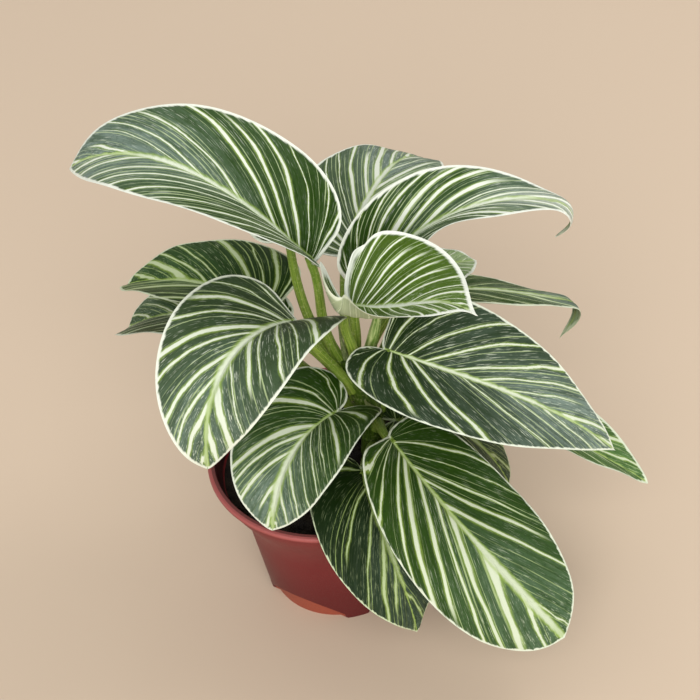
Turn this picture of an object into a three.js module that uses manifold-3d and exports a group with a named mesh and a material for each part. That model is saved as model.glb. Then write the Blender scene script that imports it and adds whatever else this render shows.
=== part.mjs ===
// A potted philodendron with heart-shaped, pin-striped leaves in a tapered nursery pot.
// Millimetres, +Z up, the origin under the middle of the pot, the photograph taken from -Y.
import * as THREE from "three";
import { mergeVertices } from "three/addons/utils/BufferGeometryUtils.js";
import Module from "manifold-3d";

const wasm = await Module();
wasm.setup();

// The pot
const POT_HEIGHT = 85;
const RIM_RADIUS = 60;
const BASE_RADIUS = 38;
const WALL = 1.8;
const LIP_HEIGHT = 3;
const LIP_DEPTH = 1.4;
const FLOOR = 2;
const ARCHES = 4;
const FIRST_ARCH = -125; // degrees round the pot
const ARCH_HALF_WIDTH = 24;
const ARCH_HEIGHT = 15;
const ARCH_INSET_RADIUS = 35.5;
const DRAIN_HOLES = 6;
const DRAIN_RADIUS = 3.5;
const DRAIN_CIRCLE = 22;
const POT_SIDES = 40;

// What stands in it
const CLEARANCE = 0.3;
const SOIL_TOP = 73;
const STEM_FOOT = new THREE.Vector3(24, 4, 60);
const STEM_MIDDLE = new THREE.Vector3(24, 4, 98);
const STEM_TOP = new THREE.Vector3(15, 5, 142);
const STEM_RADIUS = 7.6;
const STEM_TOP_RADIUS = 5.2;
const STALK_RADIUS = 2.9;
const STALK_TIP_RADIUS = 1.9;
const BLADE = 0.9;
const BLADE_ON_STALK = 4; // how far the stalk runs on under the blade
const SLIVER = 0.03; // faces thinner than this are merged where blade and stalk join

// Where along the run of veins (0 at the notch, 1 at the tip) the outline turns.
const LOBE_VEIN = 0.12;
const WIDEST_VEIN = 0.3;
const VEIN_ROWS = 12;
const NODDING_ROWS = 16; // of a blade whose tip hangs down, closer together there
const VEIN_STEPS = 3;
const VEIN_GATHER = 2.4; // how closely the veins' roots gather at the base
const VEIN_BOW = 0.16;
const STRAIGHT_VEIN = 0.09; // veins before this one arch back round the lobe
const FULL_LOBE = 0.08; // a lobe shorter than this straightens the veins in it
const MIDRIB_STEPS = 48;

// Each leaf: the point where the blade joins its stalk; the midrib's heading (degrees
// from +X) at the base and the tip and its pitch at the base, middle and tip; the roll
// about the midrib at the base and the tip; for the left and the right half the fold at
// the base and the tip, then the curl at the base and the tip (up is positive); the
// blade's length and width; the two lobes' depth and the widest place as shares of the
// length; how full the tip is; the height and bearing of the stalk's foot on the stem,
// how far the stalk leans out there, and how much it comes up from under the blade.
// Some leaves add a nod of the tip (from, to, degrees), the stretch over which the
// halves change their fold, or a lift of the lobes' ends in millimetres.
const LEAVES = {
  leaf_upper_left: {
    at: [5, 0, 206], heading: [139, 162], pitch: [25.5, 17, -41], roll: [0, 0],
    left: [52, -10, 3, -30], right: [57, 26, -5, -24],
    length: 138.5, width: 71, lobes: [0.045, 0.005], widest: 0.27, tip: 0.55, from: [139, 177],
    lean: 0.47,
  },
  leaf_left_back: {
    at: [-18, 20, 163], heading: [138, 153], pitch: [2, -10, -28], roll: [0, 0],
    left: [25, 25, 0, 0], right: [30, 15, -40, -20],
    length: 92, width: 66, lobes: [0.12, 0.03], widest: 0.28, tip: 0.7, from: [113, 151], lean: 0.55,
  },
  leaf_left_low: {
    at: [-22, 20, 149], heading: [145, 148], pitch: [0, -18, -45], roll: [0, 0],
    left: [15, 15, 0, 0], right: [20, 20, 0, 0],
    length: 96, width: 50, lobes: [0.1, 0.08], widest: 0.28, tip: 0.95, from: [100, 180], lean: 0.52,
  },
  leaf_left_front: {
    at: [-6, -12, 182], heading: [-146, -98.5], pitch: [27.5, -12.5, -83.5], roll: [0, 0],
    left: [39, -12, -16, -26], right: [6.5, 21, 14, 30],
    length: 99, width: 72.5, lobes: [0.11, 0.01], widest: 0.2, tip: 0.47, from: [122, 207],
    lean: 0.37,
  },
  leaf_front: {
    at: [8, -18, 128], heading: [-142, -108], pitch: [11, -20, -70], roll: [0, 0],
    left: [25, 5, 0, 0], right: [25, 5, 0, 0],
    length: 72, width: 64, lobes: [0.16, 0.16], widest: 0.28, tip: 0.5, from: [104, 235],
  },
  leaf_front_right: {
    at: [30.5, -28.5, 118], heading: [-53.5, -35.5], pitch: [-32, -35, -42.5], roll: [0, 0],
    left: [-20, 8.5, 9, 11], right: [30, -33, -7, -30],
    length: 126.5, width: 74.5, lobes: [0.03, 0.005], widest: 0.36, tip: 0.79, from: [98, 290],
  },
  leaf_front_low: {
    at: [16, -28, 98], heading: [-84, -52], pitch: [-2, -45, -85], roll: [0, 0],
    left: [0, 0, 0, 0], right: [0, 0, 0, 0],
    length: 91, width: 60, lobes: [0.12, 0.12], widest: 0.32, tip: 0.35, from: [84, 265],
  },
  leaf_right: {
    at: [32, -8, 156], heading: [-25, -10], pitch: [-12, -21, -50], roll: [0, -22],
    left: [32, -5, 0, 0], right: [5, 5, 0, 0],
    length: 123, width: 72, lobes: [0.02, 0.1], widest: 0.22, tip: 0.3, from: [124, 320],
  },
  leaf_young: {
    at: [18, -15.5, 193], heading: [-20, -52.5], pitch: [-11, 28.5, -6.5], roll: [0, 0],
    left: [43, 7.5, 2.5, -4.5], right: [0.5, 4, 105, 26],
    length: 73, width: 71.5, lobes: [0.06, 0.166], widest: 0.265, tip: 0.08, from: [137, 295],
    change: [0, 0.9], lift: [16, 10],
  },
  leaf_back: {
    at: [18, 41, 173.5], heading: [68, 52], pitch: [14, 2, -50], roll: [0, 0],
    left: [10, 0, 0, 0], right: [5, 5, 0, 0],
    length: 98, width: 70, lobes: [0.02, 0.06], widest: 0.28, tip: 0.6, from: [129, 98], lean: 0.41,
  },
  leaf_upper_right: {
    at: [21, 10.5, 178], heading: [40, -37], pitch: [21, 13.5, -26.5], nod: [0.757, 0.932, 107], roll: [-22.5, 28.5],
    left: [54, 2.5, 1, 1.5], right: [44, -11, -12, 5],
    length: 139, width: 54, lobes: [0, 0.02], widest: 0.226, tip: 0.06, from: [139, 46],
    change: [0.3, 0.8], lean: 0.37,
  },
  leaf_right_back: {
    at: [48.5, 31.5, 152], heading: [26, 16], pitch: [-11.5, -30.5, -24], nod: [0.74, 0.94, 105], roll: [12, 4],
    left: [12, -5, 0, 0], right: [0, -2, 0, 0],
    length: 129, width: 34, lobes: [0.096, 0.1], widest: 0.203, tip: 0.2, from: [118, 35],
    change: [0, 0.7],
  },
  leaf_right_low: {
    at: [44, 10, 114], heading: [0, -26], pitch: [-25, -27, -30], roll: [0, 0],
    left: [20, 20, 0, 0], right: [30, 30, 0, 0],
    length: 133, width: 56, lobes: [0.1, 0.1], widest: 0.3, tip: 0.45, from: [104, 15],
  },
  leaf_low_behind: {
    at: [34, -1, 101], heading: [10, -20], pitch: [-5, -45, -72], roll: [0, 0],
    left: [5, 5, 0, 0], right: [5, 5, 0, 0],
    length: 82, width: 54, lobes: [0.1, 0.1], widest: 0.3, tip: 0.5, from: [86, 345],
  },
  leaf_small_behind: {
    at: [46, 20, 170], heading: [30, 20], pitch: [5, -5, -20], roll: [0, 0],
    left: [5, 5, 0, 0], right: [5, 5, 0, 0],
    length: 40, width: 34, lobes: [0.1, 0.1], widest: 0.3, tip: 0.5, from: [127, 46], lean: 0.41,
  },
  leaf_hidden_behind: {
    at: [-6, 25, 203], heading: [100, 95], pitch: [10, -5, -50], roll: [0, 0],
    left: [5, 5, 0, 0], right: [5, 5, 0, 0],
    length: 64, width: 40, lobes: [0.05, 0.05], widest: 0.3, tip: 0.5, from: [129, 158],
    lean: 0.87, arrive: 3,
  },
};

// The rolled new leaf and the two dry sheaths left on the stem: start, end, thickness.
const NEW_LEAF = { base: [22.4, 4.3, 136], bend: [27.9, 0.9, 151], tip: [33, 2, 178], radius: 3.2 };
const SHEATHS = [
  { base: [14.5, 3, 140], tip: [12.5, -3, 171], radius: 1.2 },
  { base: [24, -1.5, 112], tip: [21, -11, 127], radius: 1.3 },
];

const radians = THREE.MathUtils.degToRad;
const mix = THREE.MathUtils.lerp;
const vector = (x, y, z) => new THREE.Vector3(x, y, z);

// A manifold solid of a closed three.js geometry.
function solid(geometry) {
  const plain = geometry.clone();
  plain.deleteAttribute("normal");
  plain.deleteAttribute("uv");
  const merged = mergeVertices(plain, 1e-4);
  return new wasm.Manifold(
    new wasm.Mesh({
      numProp: 3,
      vertProperties: new Float32Array(merged.attributes.position.array),
      triVerts: new Uint32Array(merged.index.array),
    }),
  );
}

// A named mesh of a manifold solid.
function node(name, body, look) {
  const { vertProperties, triVerts } = body.getMesh();
  const geometry = new THREE.BufferGeometry();
  geometry.setAttribute("position", new THREE.BufferAttribute(new Float32Array(vertProperties), 3));
  geometry.setIndex(new THREE.BufferAttribute(new Uint32Array(triVerts), 1));
  geometry.computeVertexNormals();
  const mesh = new THREE.Mesh(geometry, new THREE.MeshStandardMaterial(look));
  mesh.name = name;
  return mesh;
}

// A solid turned about the upright axis through the profile's [radius, height] points.
function turned(profile) {
  const points = profile.map(([radius, height]) => new THREE.Vector2(radius, height));
  return solid(new THREE.LatheGeometry(points, POT_SIDES).rotateX(Math.PI / 2));
}

// A round bar along a curve; radius(t) gives its thickness from the start to the end.
function bar(curve, radius, sides, steps) {
  const frames = curve.computeFrenetFrames(steps);
  const points = [];
  const faces = [];
  for (let i = 0; i <= steps; i++) {
    const middle = curve.getPointAt(i / steps);
    for (let k = 0; k < sides; k++) {
      const turn = (2 * Math.PI * k) / sides;
      const spoke = frames.normals[i].clone().multiplyScalar(Math.cos(turn));
      spoke.addScaledVector(frames.binormals[i], Math.sin(turn));
      points.push(middle.clone().addScaledVector(spoke, radius(i / steps)));
    }
  }
  const at = (i, k) => i * sides + (k % sides);
  for (let i = 0; i < steps; i++)
    for (let k = 0; k < sides; k++) {
      faces.push(at(i, k), at(i, k + 1), at(i + 1, k + 1));
      faces.push(at(i, k), at(i + 1, k + 1), at(i + 1, k));
    }
  for (let k = 1; k < sides - 1; k++) {
    faces.push(at(0, 0), at(0, k + 1), at(0, k));
    faces.push(at(steps, 0), at(steps, k), at(steps, k + 1));
  }
  const geometry = new THREE.BufferGeometry().setFromPoints(points);
  geometry.setIndex(faces);
  return solid(geometry);
}

// The arch-shaped recesses round the foot of the pot, each grown by a margin.
function archRecesses(grow, inset) {
  const opening = new THREE.Shape();
  opening.moveTo(-ARCH_HALF_WIDTH - grow, -1);
  opening.lineTo(-ARCH_HALF_WIDTH - grow, 0);
  opening.bezierCurveTo(
    -ARCH_HALF_WIDTH * 0.55, (ARCH_HEIGHT + grow) * 1.3,
    ARCH_HALF_WIDTH * 0.55, (ARCH_HEIGHT + grow) * 1.3,
    ARCH_HALF_WIDTH + grow, 0,
  );
  opening.lineTo(ARCH_HALF_WIDTH + grow, -1);
  const depth = 2 * RIM_RADIUS;
  const block = new THREE.ExtrudeGeometry(opening, { depth, bevelEnabled: false, curveSegments: 8 });
  block.rotateX(Math.PI / 2).rotateZ(Math.PI);
  const core = turned([[0, -2], [inset, -2], [inset + 1.5, ARCH_HEIGHT + 5], [0, ARCH_HEIGHT + 5]]);
  let recesses = null;
  for (let i = 0; i < ARCHES; i++) {
    const turn = radians(FIRST_ARCH - 90 + (360 * i) / ARCHES);
    const one = solid(block.clone().rotateZ(turn)).subtract(core);
    recesses = recesses ? recesses.add(one) : one;
  }
  return recesses;
}

// The wall's outside as [radius, height]: a steep cone that flares below the rim.
const WALL_LINE = [[BASE_RADIUS, 0], [44.8, 50], [48, 60], [53.5, 70], [57, 77], [58.6, POT_HEIGHT]];

function wallRadius(height) {
  const next = WALL_LINE.findIndex(([, top]) => top >= height);
  if (next < 1) return next < 0 ? WALL_LINE.at(-1)[0] : BASE_RADIUS;
  const [[lowRadius, low], [highRadius, high]] = WALL_LINE.slice(next - 1, next + 1);
  return mix(lowRadius, highRadius, (height - low) / (high - low));
}

const wallLine = (low, high, inset) => [
  [wallRadius(low) - inset, low],
  ...WALL_LINE.filter(([, height]) => height > low && height < high).map(([r, h]) => [r - inset, h]),
  [wallRadius(high) - inset, high],
];

function pot() {
  const lipFoot = POT_HEIGHT - LIP_HEIGHT;
  const outside = turned([
    [0, 0],
    ...wallLine(0, lipFoot, 0),
    [RIM_RADIUS - 0.3, lipFoot + 0.5],
    [RIM_RADIUS, lipFoot + 1.2],
    [RIM_RADIUS, POT_HEIGHT - 0.8],
    [RIM_RADIUS - 0.8, POT_HEIGHT],
    [0, POT_HEIGHT],
  ]);
  const inside = turned([
    [0, FLOOR],
    ...wallLine(FLOOR, POT_HEIGHT, WALL),
    [0, POT_HEIGHT],
  ]);
  const shell = outside
    .subtract(archRecesses(0, ARCH_INSET_RADIUS))
    .subtract(inside.subtract(archRecesses(WALL, ARCH_INSET_RADIUS - WALL)));
  const drain = new THREE.CylinderGeometry(DRAIN_RADIUS, DRAIN_RADIUS, 6, 10).rotateX(Math.PI / 2);
  let body = shell;
  for (let i = 0; i < DRAIN_HOLES; i++) {
    const turn = (2 * Math.PI * i) / DRAIN_HOLES;
    const hole = drain.clone().translate(DRAIN_CIRCLE * Math.cos(turn), DRAIN_CIRCLE * Math.sin(turn), 0);
    body = body.subtract(solid(hole));
  }
  return body;
}

function soil() {
  const step = ARCH_HEIGHT + 3;
  const footRadius = ARCH_INSET_RADIUS - WALL - CLEARANCE;
  const fill = turned([
    [0, FLOOR + CLEARANCE],
    [footRadius, FLOOR + CLEARANCE],
    [footRadius, step],
    ...wallLine(step, SOIL_TOP - 1.5, WALL + CLEARANCE),
    [wallRadius(SOIL_TOP) * 0.8, SOIL_TOP],
    [0, SOIL_TOP + 1],
  ]);
  const depth = SOIL_TOP + 10 - STEM_FOOT.z;
  const radius = STEM_RADIUS + CLEARANCE;
  const hole = new THREE.CylinderGeometry(radius, radius, depth, 20).rotateX(Math.PI / 2);
  hole.translate(STEM_FOOT.x, STEM_FOOT.y, STEM_FOOT.z - CLEARANCE + depth / 2);
  return fill.subtract(solid(hole));
}

// The stem's axis, taken further past its top by a margin.
function stemAxis(margin) {
  const top = STEM_TOP.clone().sub(STEM_MIDDLE).setLength(margin).add(STEM_TOP);
  return new THREE.CatmullRomCurve3([STEM_FOOT, vector(24, 4, 78), STEM_MIDDLE, top]);
}

const stemLine = stemAxis(0);
const stemRadius = (t) => mix(STEM_RADIUS, STEM_TOP_RADIUS, t);

function stem(margin) {
  return bar(stemAxis(margin), (t) => stemRadius(t) + margin, 14, 8);
}

// The stem's axis at a height, and its share of the way up.
function stemAt(height) {
  let [low, high] = [0, 1];
  for (let i = 0; i < 24; i++) {
    const middle = (low + high) / 2;
    if (stemLine.getPointAt(middle).z < height) low = middle;
    else high = middle;
  }
  return { axis: stemLine.getPointAt(low), share: low };
}

// Half the outline of a blade in shares of the half width and the length: round the
// lobe, out to the widest point and on to the tip.
function outlineAt(leaf, side, vein) {
  const { widest } = leaf;
  const lobe = leaf.lobes[side < 0 ? 0 : 1];
  const flat = (x, y) => new THREE.Vector2(x, y);
  if (vein < LOBE_VEIN) {
    const lobeEdge = new THREE.CubicBezierCurve(
      flat(0, 0), flat(0.06, -0.8 * lobe), flat(0.18, -lobe), flat(0.44, -lobe));
    return lobeEdge.getPoint(vein / LOBE_VEIN);
  }
  if (vein < WIDEST_VEIN) {
    const shoulder = new THREE.CubicBezierCurve(
      flat(0.44, -lobe), flat(0.8, -lobe), flat(1, 0.45 * widest - 0.4 * lobe), flat(1, widest));
    return shoulder.getPoint((vein - LOBE_VEIN) / (WIDEST_VEIN - LOBE_VEIN));
  }
  const flank = new THREE.CubicBezierCurve(
    flat(1, widest), flat(1, widest + 0.34), flat(leaf.tip, 0.8 + 0.2 * leaf.tip), flat(0, 1));
  return flank.getPoint(((vein - WIDEST_VEIN) / (1 - WIDEST_VEIN)) ** 0.92);
}

// A point of the unbent half blade: out along a vein that leaves the midrib and arches
// to the edge.
function flatPoint(leaf, side, vein, out) {
  const edge = outlineAt(leaf, side, vein);
  edge.set((edge.x * leaf.width) / 2, edge.y * leaf.length);
  const root = new THREE.Vector2(0, vein ** VEIN_GATHER * leaf.length);
  const run = edge.clone().sub(root);
  const lobe = THREE.MathUtils.clamp(leaf.lobes[side < 0 ? 0 : 1] / FULL_LOBE, 0, 1);
  const calm = mix(lobe, 1, THREE.MathUtils.smoothstep(vein, LOBE_VEIN, 0.4));
  const bend = calm * THREE.MathUtils.clamp(vein / STRAIGHT_VEIN - 1, -1, 1);
  const bow = new THREE.Vector2(run.y, -run.x).multiplyScalar(VEIN_BOW * bend);
  const first = root.clone().addScaledVector(run, 0.33).add(bow);
  const second = root.clone().addScaledVector(run, 0.7).add(bow);
  return new THREE.CubicBezierCurve(root, first, second, edge).getPoint(out);
}

// The midrib's direction, the way across it to the right and the way up, at a share of
// its length.
function midribFrame(leaf, share) {
  const heading = radians(mix(...leaf.heading, share));
  const [base, middle, tip] = leaf.pitch;
  let pitch = base * (1 - share) * (1 - 2 * share);
  pitch += middle * 4 * share * (1 - share) + tip * share * (2 * share - 1);
  if (leaf.nod) pitch -= leaf.nod[2] * THREE.MathUtils.smoothstep(share, leaf.nod[0], leaf.nod[1]);
  pitch = radians(pitch);
  const along = vector(
    Math.cos(pitch) * Math.cos(heading), Math.cos(pitch) * Math.sin(heading), Math.sin(pitch));
  const across = vector(Math.sin(heading), -Math.cos(heading), 0);
  const up = across.clone().cross(along);
  const roll = radians(mix(...leaf.roll, share));
  across.applyAxisAngle(along, -roll);
  up.applyAxisAngle(along, -roll);
  return { along, across, up };
}

function midrib(leaf) {
  const points = [vector(...leaf.at)];
  for (let i = 0; i < MIDRIB_STEPS; i++) {
    const { along } = midribFrame(leaf, (i + 0.5) / MIDRIB_STEPS);
    points.push(points[i].clone().addScaledVector(along, leaf.length / MIDRIB_STEPS));
  }
  return points;
}

// Bends a flat point of one half (side 1 is right, -1 left) on to the leaf in space.
function bent(leaf, line, side, { x, y }) {
  const share = THREE.MathUtils.clamp(y / leaf.length, 0, 1);
  const cell = Math.min(Math.floor(share * MIDRIB_STEPS), MIDRIB_STEPS - 1);
  const { along, across, up } = midribFrame(leaf, share);
  const [foldBase, foldTip, curlBase, curlTip] = side < 0 ? leaf.left : leaf.right;
  const change = leaf.change ? THREE.MathUtils.smoothstep(share, ...leaf.change) : share;
  const fold = radians(mix(foldBase, foldTip, change));
  const turn = radians(mix(curlBase, curlTip, change)) * ((2 * x) / leaf.width) || 1e-6;
  const reach = (x * (Math.sin(fold + turn) - Math.sin(fold))) / turn;
  let rise = (x * (Math.cos(fold) - Math.cos(fold + turn))) / turn;
  if (leaf.lift && y < 0) rise += leaf.lift[side < 0 ? 0 : 1] * (y / leaf.length / 0.1) ** 2;
  return line[cell].clone()
    .lerp(line[cell + 1], share * MIDRIB_STEPS - cell)
    .addScaledVector(along, Math.min(y, 0))
    .addScaledVector(across, side * reach)
    .addScaledVector(up, rise);
}

// The blade as a closed thin body: a sheet of veins on both halves, given a thickness.
function blade(leaf) {
  const line = midrib(leaf);
  const rows = leaf.nod ? NODDING_ROWS : VEIN_ROWS;
  const crowding = leaf.nod ? 0.5 : 0;
  const veins = Array.from({ length: rows + 1 }, (_, row) =>
    mix(row / rows, 1 - (1 - row / rows) ** 2, crowding));
  const sheet = [];
  const index = new Map();
  const vertex = (side, row, step) => {
    const onEnd = row === 0 || row === rows;
    const key = onEnd ? `end ${row}` : step === 0 ? `rib ${row}` : `${side} ${row} ${step}`;
    if (!index.has(key)) {
      index.set(key, sheet.length);
      const flat = onEnd
        ? new THREE.Vector2(0, row === 0 ? 0 : leaf.length)
        : flatPoint(leaf, side, veins[row], step / VEIN_STEPS);
      sheet.push(bent(leaf, line, side, flat));
    }
    return index.get(key);
  };
  const faces = [];
  const face = (side, a, b, c) => {
    if (a === b || b === c || c === a) return;
    faces.push(side > 0 ? [a, c, b] : [a, b, c]);
  };
  for (const side of [1, -1])
    for (let row = 0; row < rows; row++)
      for (let step = 0; step < VEIN_STEPS; step++) {
        const near = vertex(side, row, step);
        const far = vertex(side, row + 1, step);
        const farOut = vertex(side, row + 1, step + 1);
        const nearOut = vertex(side, row, step + 1);
        face(side, near, far, farOut);
        face(side, near, farOut, nearOut);
      }
  return thickened(sheet, faces, BLADE);
}

// A closed body of a thickness round an open sheet of triangles.
function thickened(sheet, faces, thickness) {
  const middle = new THREE.BufferGeometry().setFromPoints(sheet);
  middle.setIndex(faces.flat());
  middle.computeVertexNormals();
  const normals = middle.attributes.normal;
  const count = sheet.length;
  const offset = (i, side) =>
    sheet[i].clone().addScaledVector(vector(...normals.array.slice(3 * i, 3 * i + 3)), side * thickness / 2);
  const points = sheet.map((_, i) => offset(i, 1)).concat(sheet.map((_, i) => offset(i, -1)));
  const edges = new Set(faces.flatMap(([a, b, c]) => [`${a} ${b}`, `${b} ${c}`, `${c} ${a}`]));
  const skin = faces.flatMap(([a, b, c]) => [a, b, c, c + count, b + count, a + count]);
  for (const edge of edges) {
    const [a, b] = edge.split(" ").map(Number);
    if (!edges.has(`${b} ${a}`)) skin.push(b, a, a + count, b, a + count, b + count);
  }
  const geometry = new THREE.BufferGeometry().setFromPoints(points);
  geometry.setIndex(skin);
  return solid(geometry);
}

// The stalk: from the stem's side up and over to the underside of the blade.
function stalk(leaf) {
  const [height, bearing] = leaf.from;
  const { axis, share } = stemAt(height);
  const out = vector(Math.cos(radians(bearing)), Math.sin(radians(bearing)), 0);
  const start = axis.clone().addScaledVector(out, stemRadius(share) - 1.5);
  const { along, up } = midribFrame(leaf, 0);
  const end = vector(...leaf.at).addScaledVector(along, BLADE_ON_STALK).addScaledVector(up, -0.5);
  const reach = start.distanceTo(end);
  const rise = out.clone().multiplyScalar(leaf.lean ?? 0.4).add(vector(0, 0, 1)).normalize();
  const arrive = along.clone().addScaledVector(up, leaf.arrive ?? 0.8).normalize();
  return bar(
    new THREE.CubicBezierCurve3(
      start,
      start.clone().addScaledVector(rise, 0.4 * reach),
      end.clone().addScaledVector(arrive, -0.3 * reach),
      end,
    ),
    (t) => mix(STALK_RADIUS, STALK_TIP_RADIUS, t),
    7,
    7,
  );
}

// The new leaf, still rolled into a spindle beside the youngest stalks.
function newLeaf() {
  const { base, bend, tip, radius } = NEW_LEAF;
  const line = new THREE.QuadraticBezierCurve3(vector(...base), vector(...bend), vector(...tip));
  const swell = (t) => radius * (0.75 + 0.6 * t * (1 - t)) * (1 - t ** 4) + 0.4;
  return bar(line, swell, 10, 10);
}

// A dry pointed sheath that leans off the stem.
function sheath({ base, tip, radius }) {
  const line = new THREE.LineCurve3(vector(...base), vector(...tip));
  return bar(line, (t) => radius * (1 - t) + 0.4, 8, 3);
}

const POT_LOOK = { color: 0x8a3434, roughness: 0.5, metalness: 0 };
const SOIL_LOOK = { color: 0x14100c, roughness: 1, metalness: 0 };
const STEM_LOOK = { color: 0x6f9448, roughness: 0.5, metalness: 0 };
const LEAF_LOOK = { color: 0x4f6a3c, roughness: 0.4, metalness: 0 };

const plant = new THREE.Group();
plant.add(node("pot", pot(), POT_LOOK));
plant.add(node("soil", soil(), SOIL_LOOK));
plant.add(node("stem", SHEATHS.reduce((body, one) => body.add(sheath(one)), stem(0)), STEM_LOOK));
const stemRoom = stem(CLEARANCE);
plant.add(node("new_leaf", newLeaf().subtract(stemRoom), LEAF_LOOK));
for (const [name, leaf] of Object.entries(LEAVES)) {
  const body = blade(leaf).add(stalk(leaf)).subtract(stemRoom);
  plant.add(node(name, body.simplify(SLIVER), LEAF_LOOK));
}

export default plant;
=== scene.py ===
"""A potted birkin philodendron: heart-shaped, pin-striped leaves in a red nursery pot.

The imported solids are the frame. Every part of the plant and the pot is rebuilt over
its solid with finer form and its finish. Sizes of the plant are in millimetres and
become metres where a mesh takes its place. The photograph is taken from -Y.
"""

import logging
import math
import random
from dataclasses import dataclass, field
from enum import Enum

import bmesh
import bpy
import numpy as np
from mathutils import Matrix, Vector, noise


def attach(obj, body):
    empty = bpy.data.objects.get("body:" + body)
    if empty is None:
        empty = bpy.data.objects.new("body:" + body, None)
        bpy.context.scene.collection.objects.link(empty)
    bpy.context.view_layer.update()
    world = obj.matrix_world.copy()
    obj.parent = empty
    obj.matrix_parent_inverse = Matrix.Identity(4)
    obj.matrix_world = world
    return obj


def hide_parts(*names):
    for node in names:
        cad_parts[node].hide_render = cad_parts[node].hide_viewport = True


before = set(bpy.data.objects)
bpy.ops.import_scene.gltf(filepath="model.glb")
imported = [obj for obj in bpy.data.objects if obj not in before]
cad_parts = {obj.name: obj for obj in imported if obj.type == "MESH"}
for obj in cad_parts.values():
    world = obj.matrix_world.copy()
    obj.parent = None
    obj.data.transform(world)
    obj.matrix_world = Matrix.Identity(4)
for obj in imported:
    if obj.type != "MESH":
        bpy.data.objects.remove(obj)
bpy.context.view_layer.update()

LOG = logging.getLogger("plant")
MM = 0.001
WELD = 2e-7
SHARP_ANGLE = math.radians(38)
FRONT = (0, -1, 0)

Array = np.ndarray
Mesh = bmesh.types.BMesh
Vert = bmesh.types.BMVert
Piece = bpy.types.Object
Material = bpy.types.Material
Tree = bpy.types.NodeTree
Node = bpy.types.Node
Socket = bpy.types.NodeSocket
Value = float | tuple | Socket
Number = Array | float
Pair = tuple[float, float]
Triple = tuple[float, float, float]
Quad = tuple[float, float, float, float]


class Part(Enum):
    """The material slots of the record."""

    POT = "pot"
    SOIL = "soil"
    STEM = "stem"
    LEAF = "leaf"


def mix(first: Number, second: Number, share: Number) -> Number:
    """Return the value a share of the way from the first to the second."""
    return first + (second - first) * share


def smoothstep(value: Number, low: float, high: float) -> Array:
    """Return 0 below low, 1 above high and a smooth rise between them."""
    share = np.clip((value - low) / (high - low), 0, 1)
    return share * share * (3 - 2 * share)


def bezier(points: list[Array], share: Array) -> Array:
    """Return points of a cubic Bezier curve.

    Args:
        points: The four control points, each with its coordinates on the last axis.
        share: How far along the curve, without the coordinates' axis.

    Returns:
        The curve's points, coordinates last.
    """
    t = np.asarray(share)[..., None]
    rest = 1 - t
    start, first, second, end = points
    return rest**3 * start + 3 * rest**2 * t * first + 3 * rest * t * t * second + t**3 * end


def hump(distance: Array, width: float) -> Array:
    """Return a smooth bump that is 1 at no distance and fades past its width."""
    return np.exp(-((distance / width) ** 2))


def unit(vectors: Array) -> Array:
    """Return vectors with the length of one."""
    return vectors / np.maximum(np.linalg.norm(vectors, axis=-1, keepdims=True), 1e-12)


def colour(shown: Triple) -> Quad:
    """Return a linear colour from the 0 to 255 values that a screen shows.

    Args:
        shown: Red, green and blue.

    Returns:
        The colour with full opacity.
    """
    shares = [channel / 255 for channel in shown]
    linear = [s / 12.92 if s <= 0.04045 else ((s + 0.055) / 1.055) ** 2.4 for s in shares]
    return (*linear, 1.0)


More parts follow.
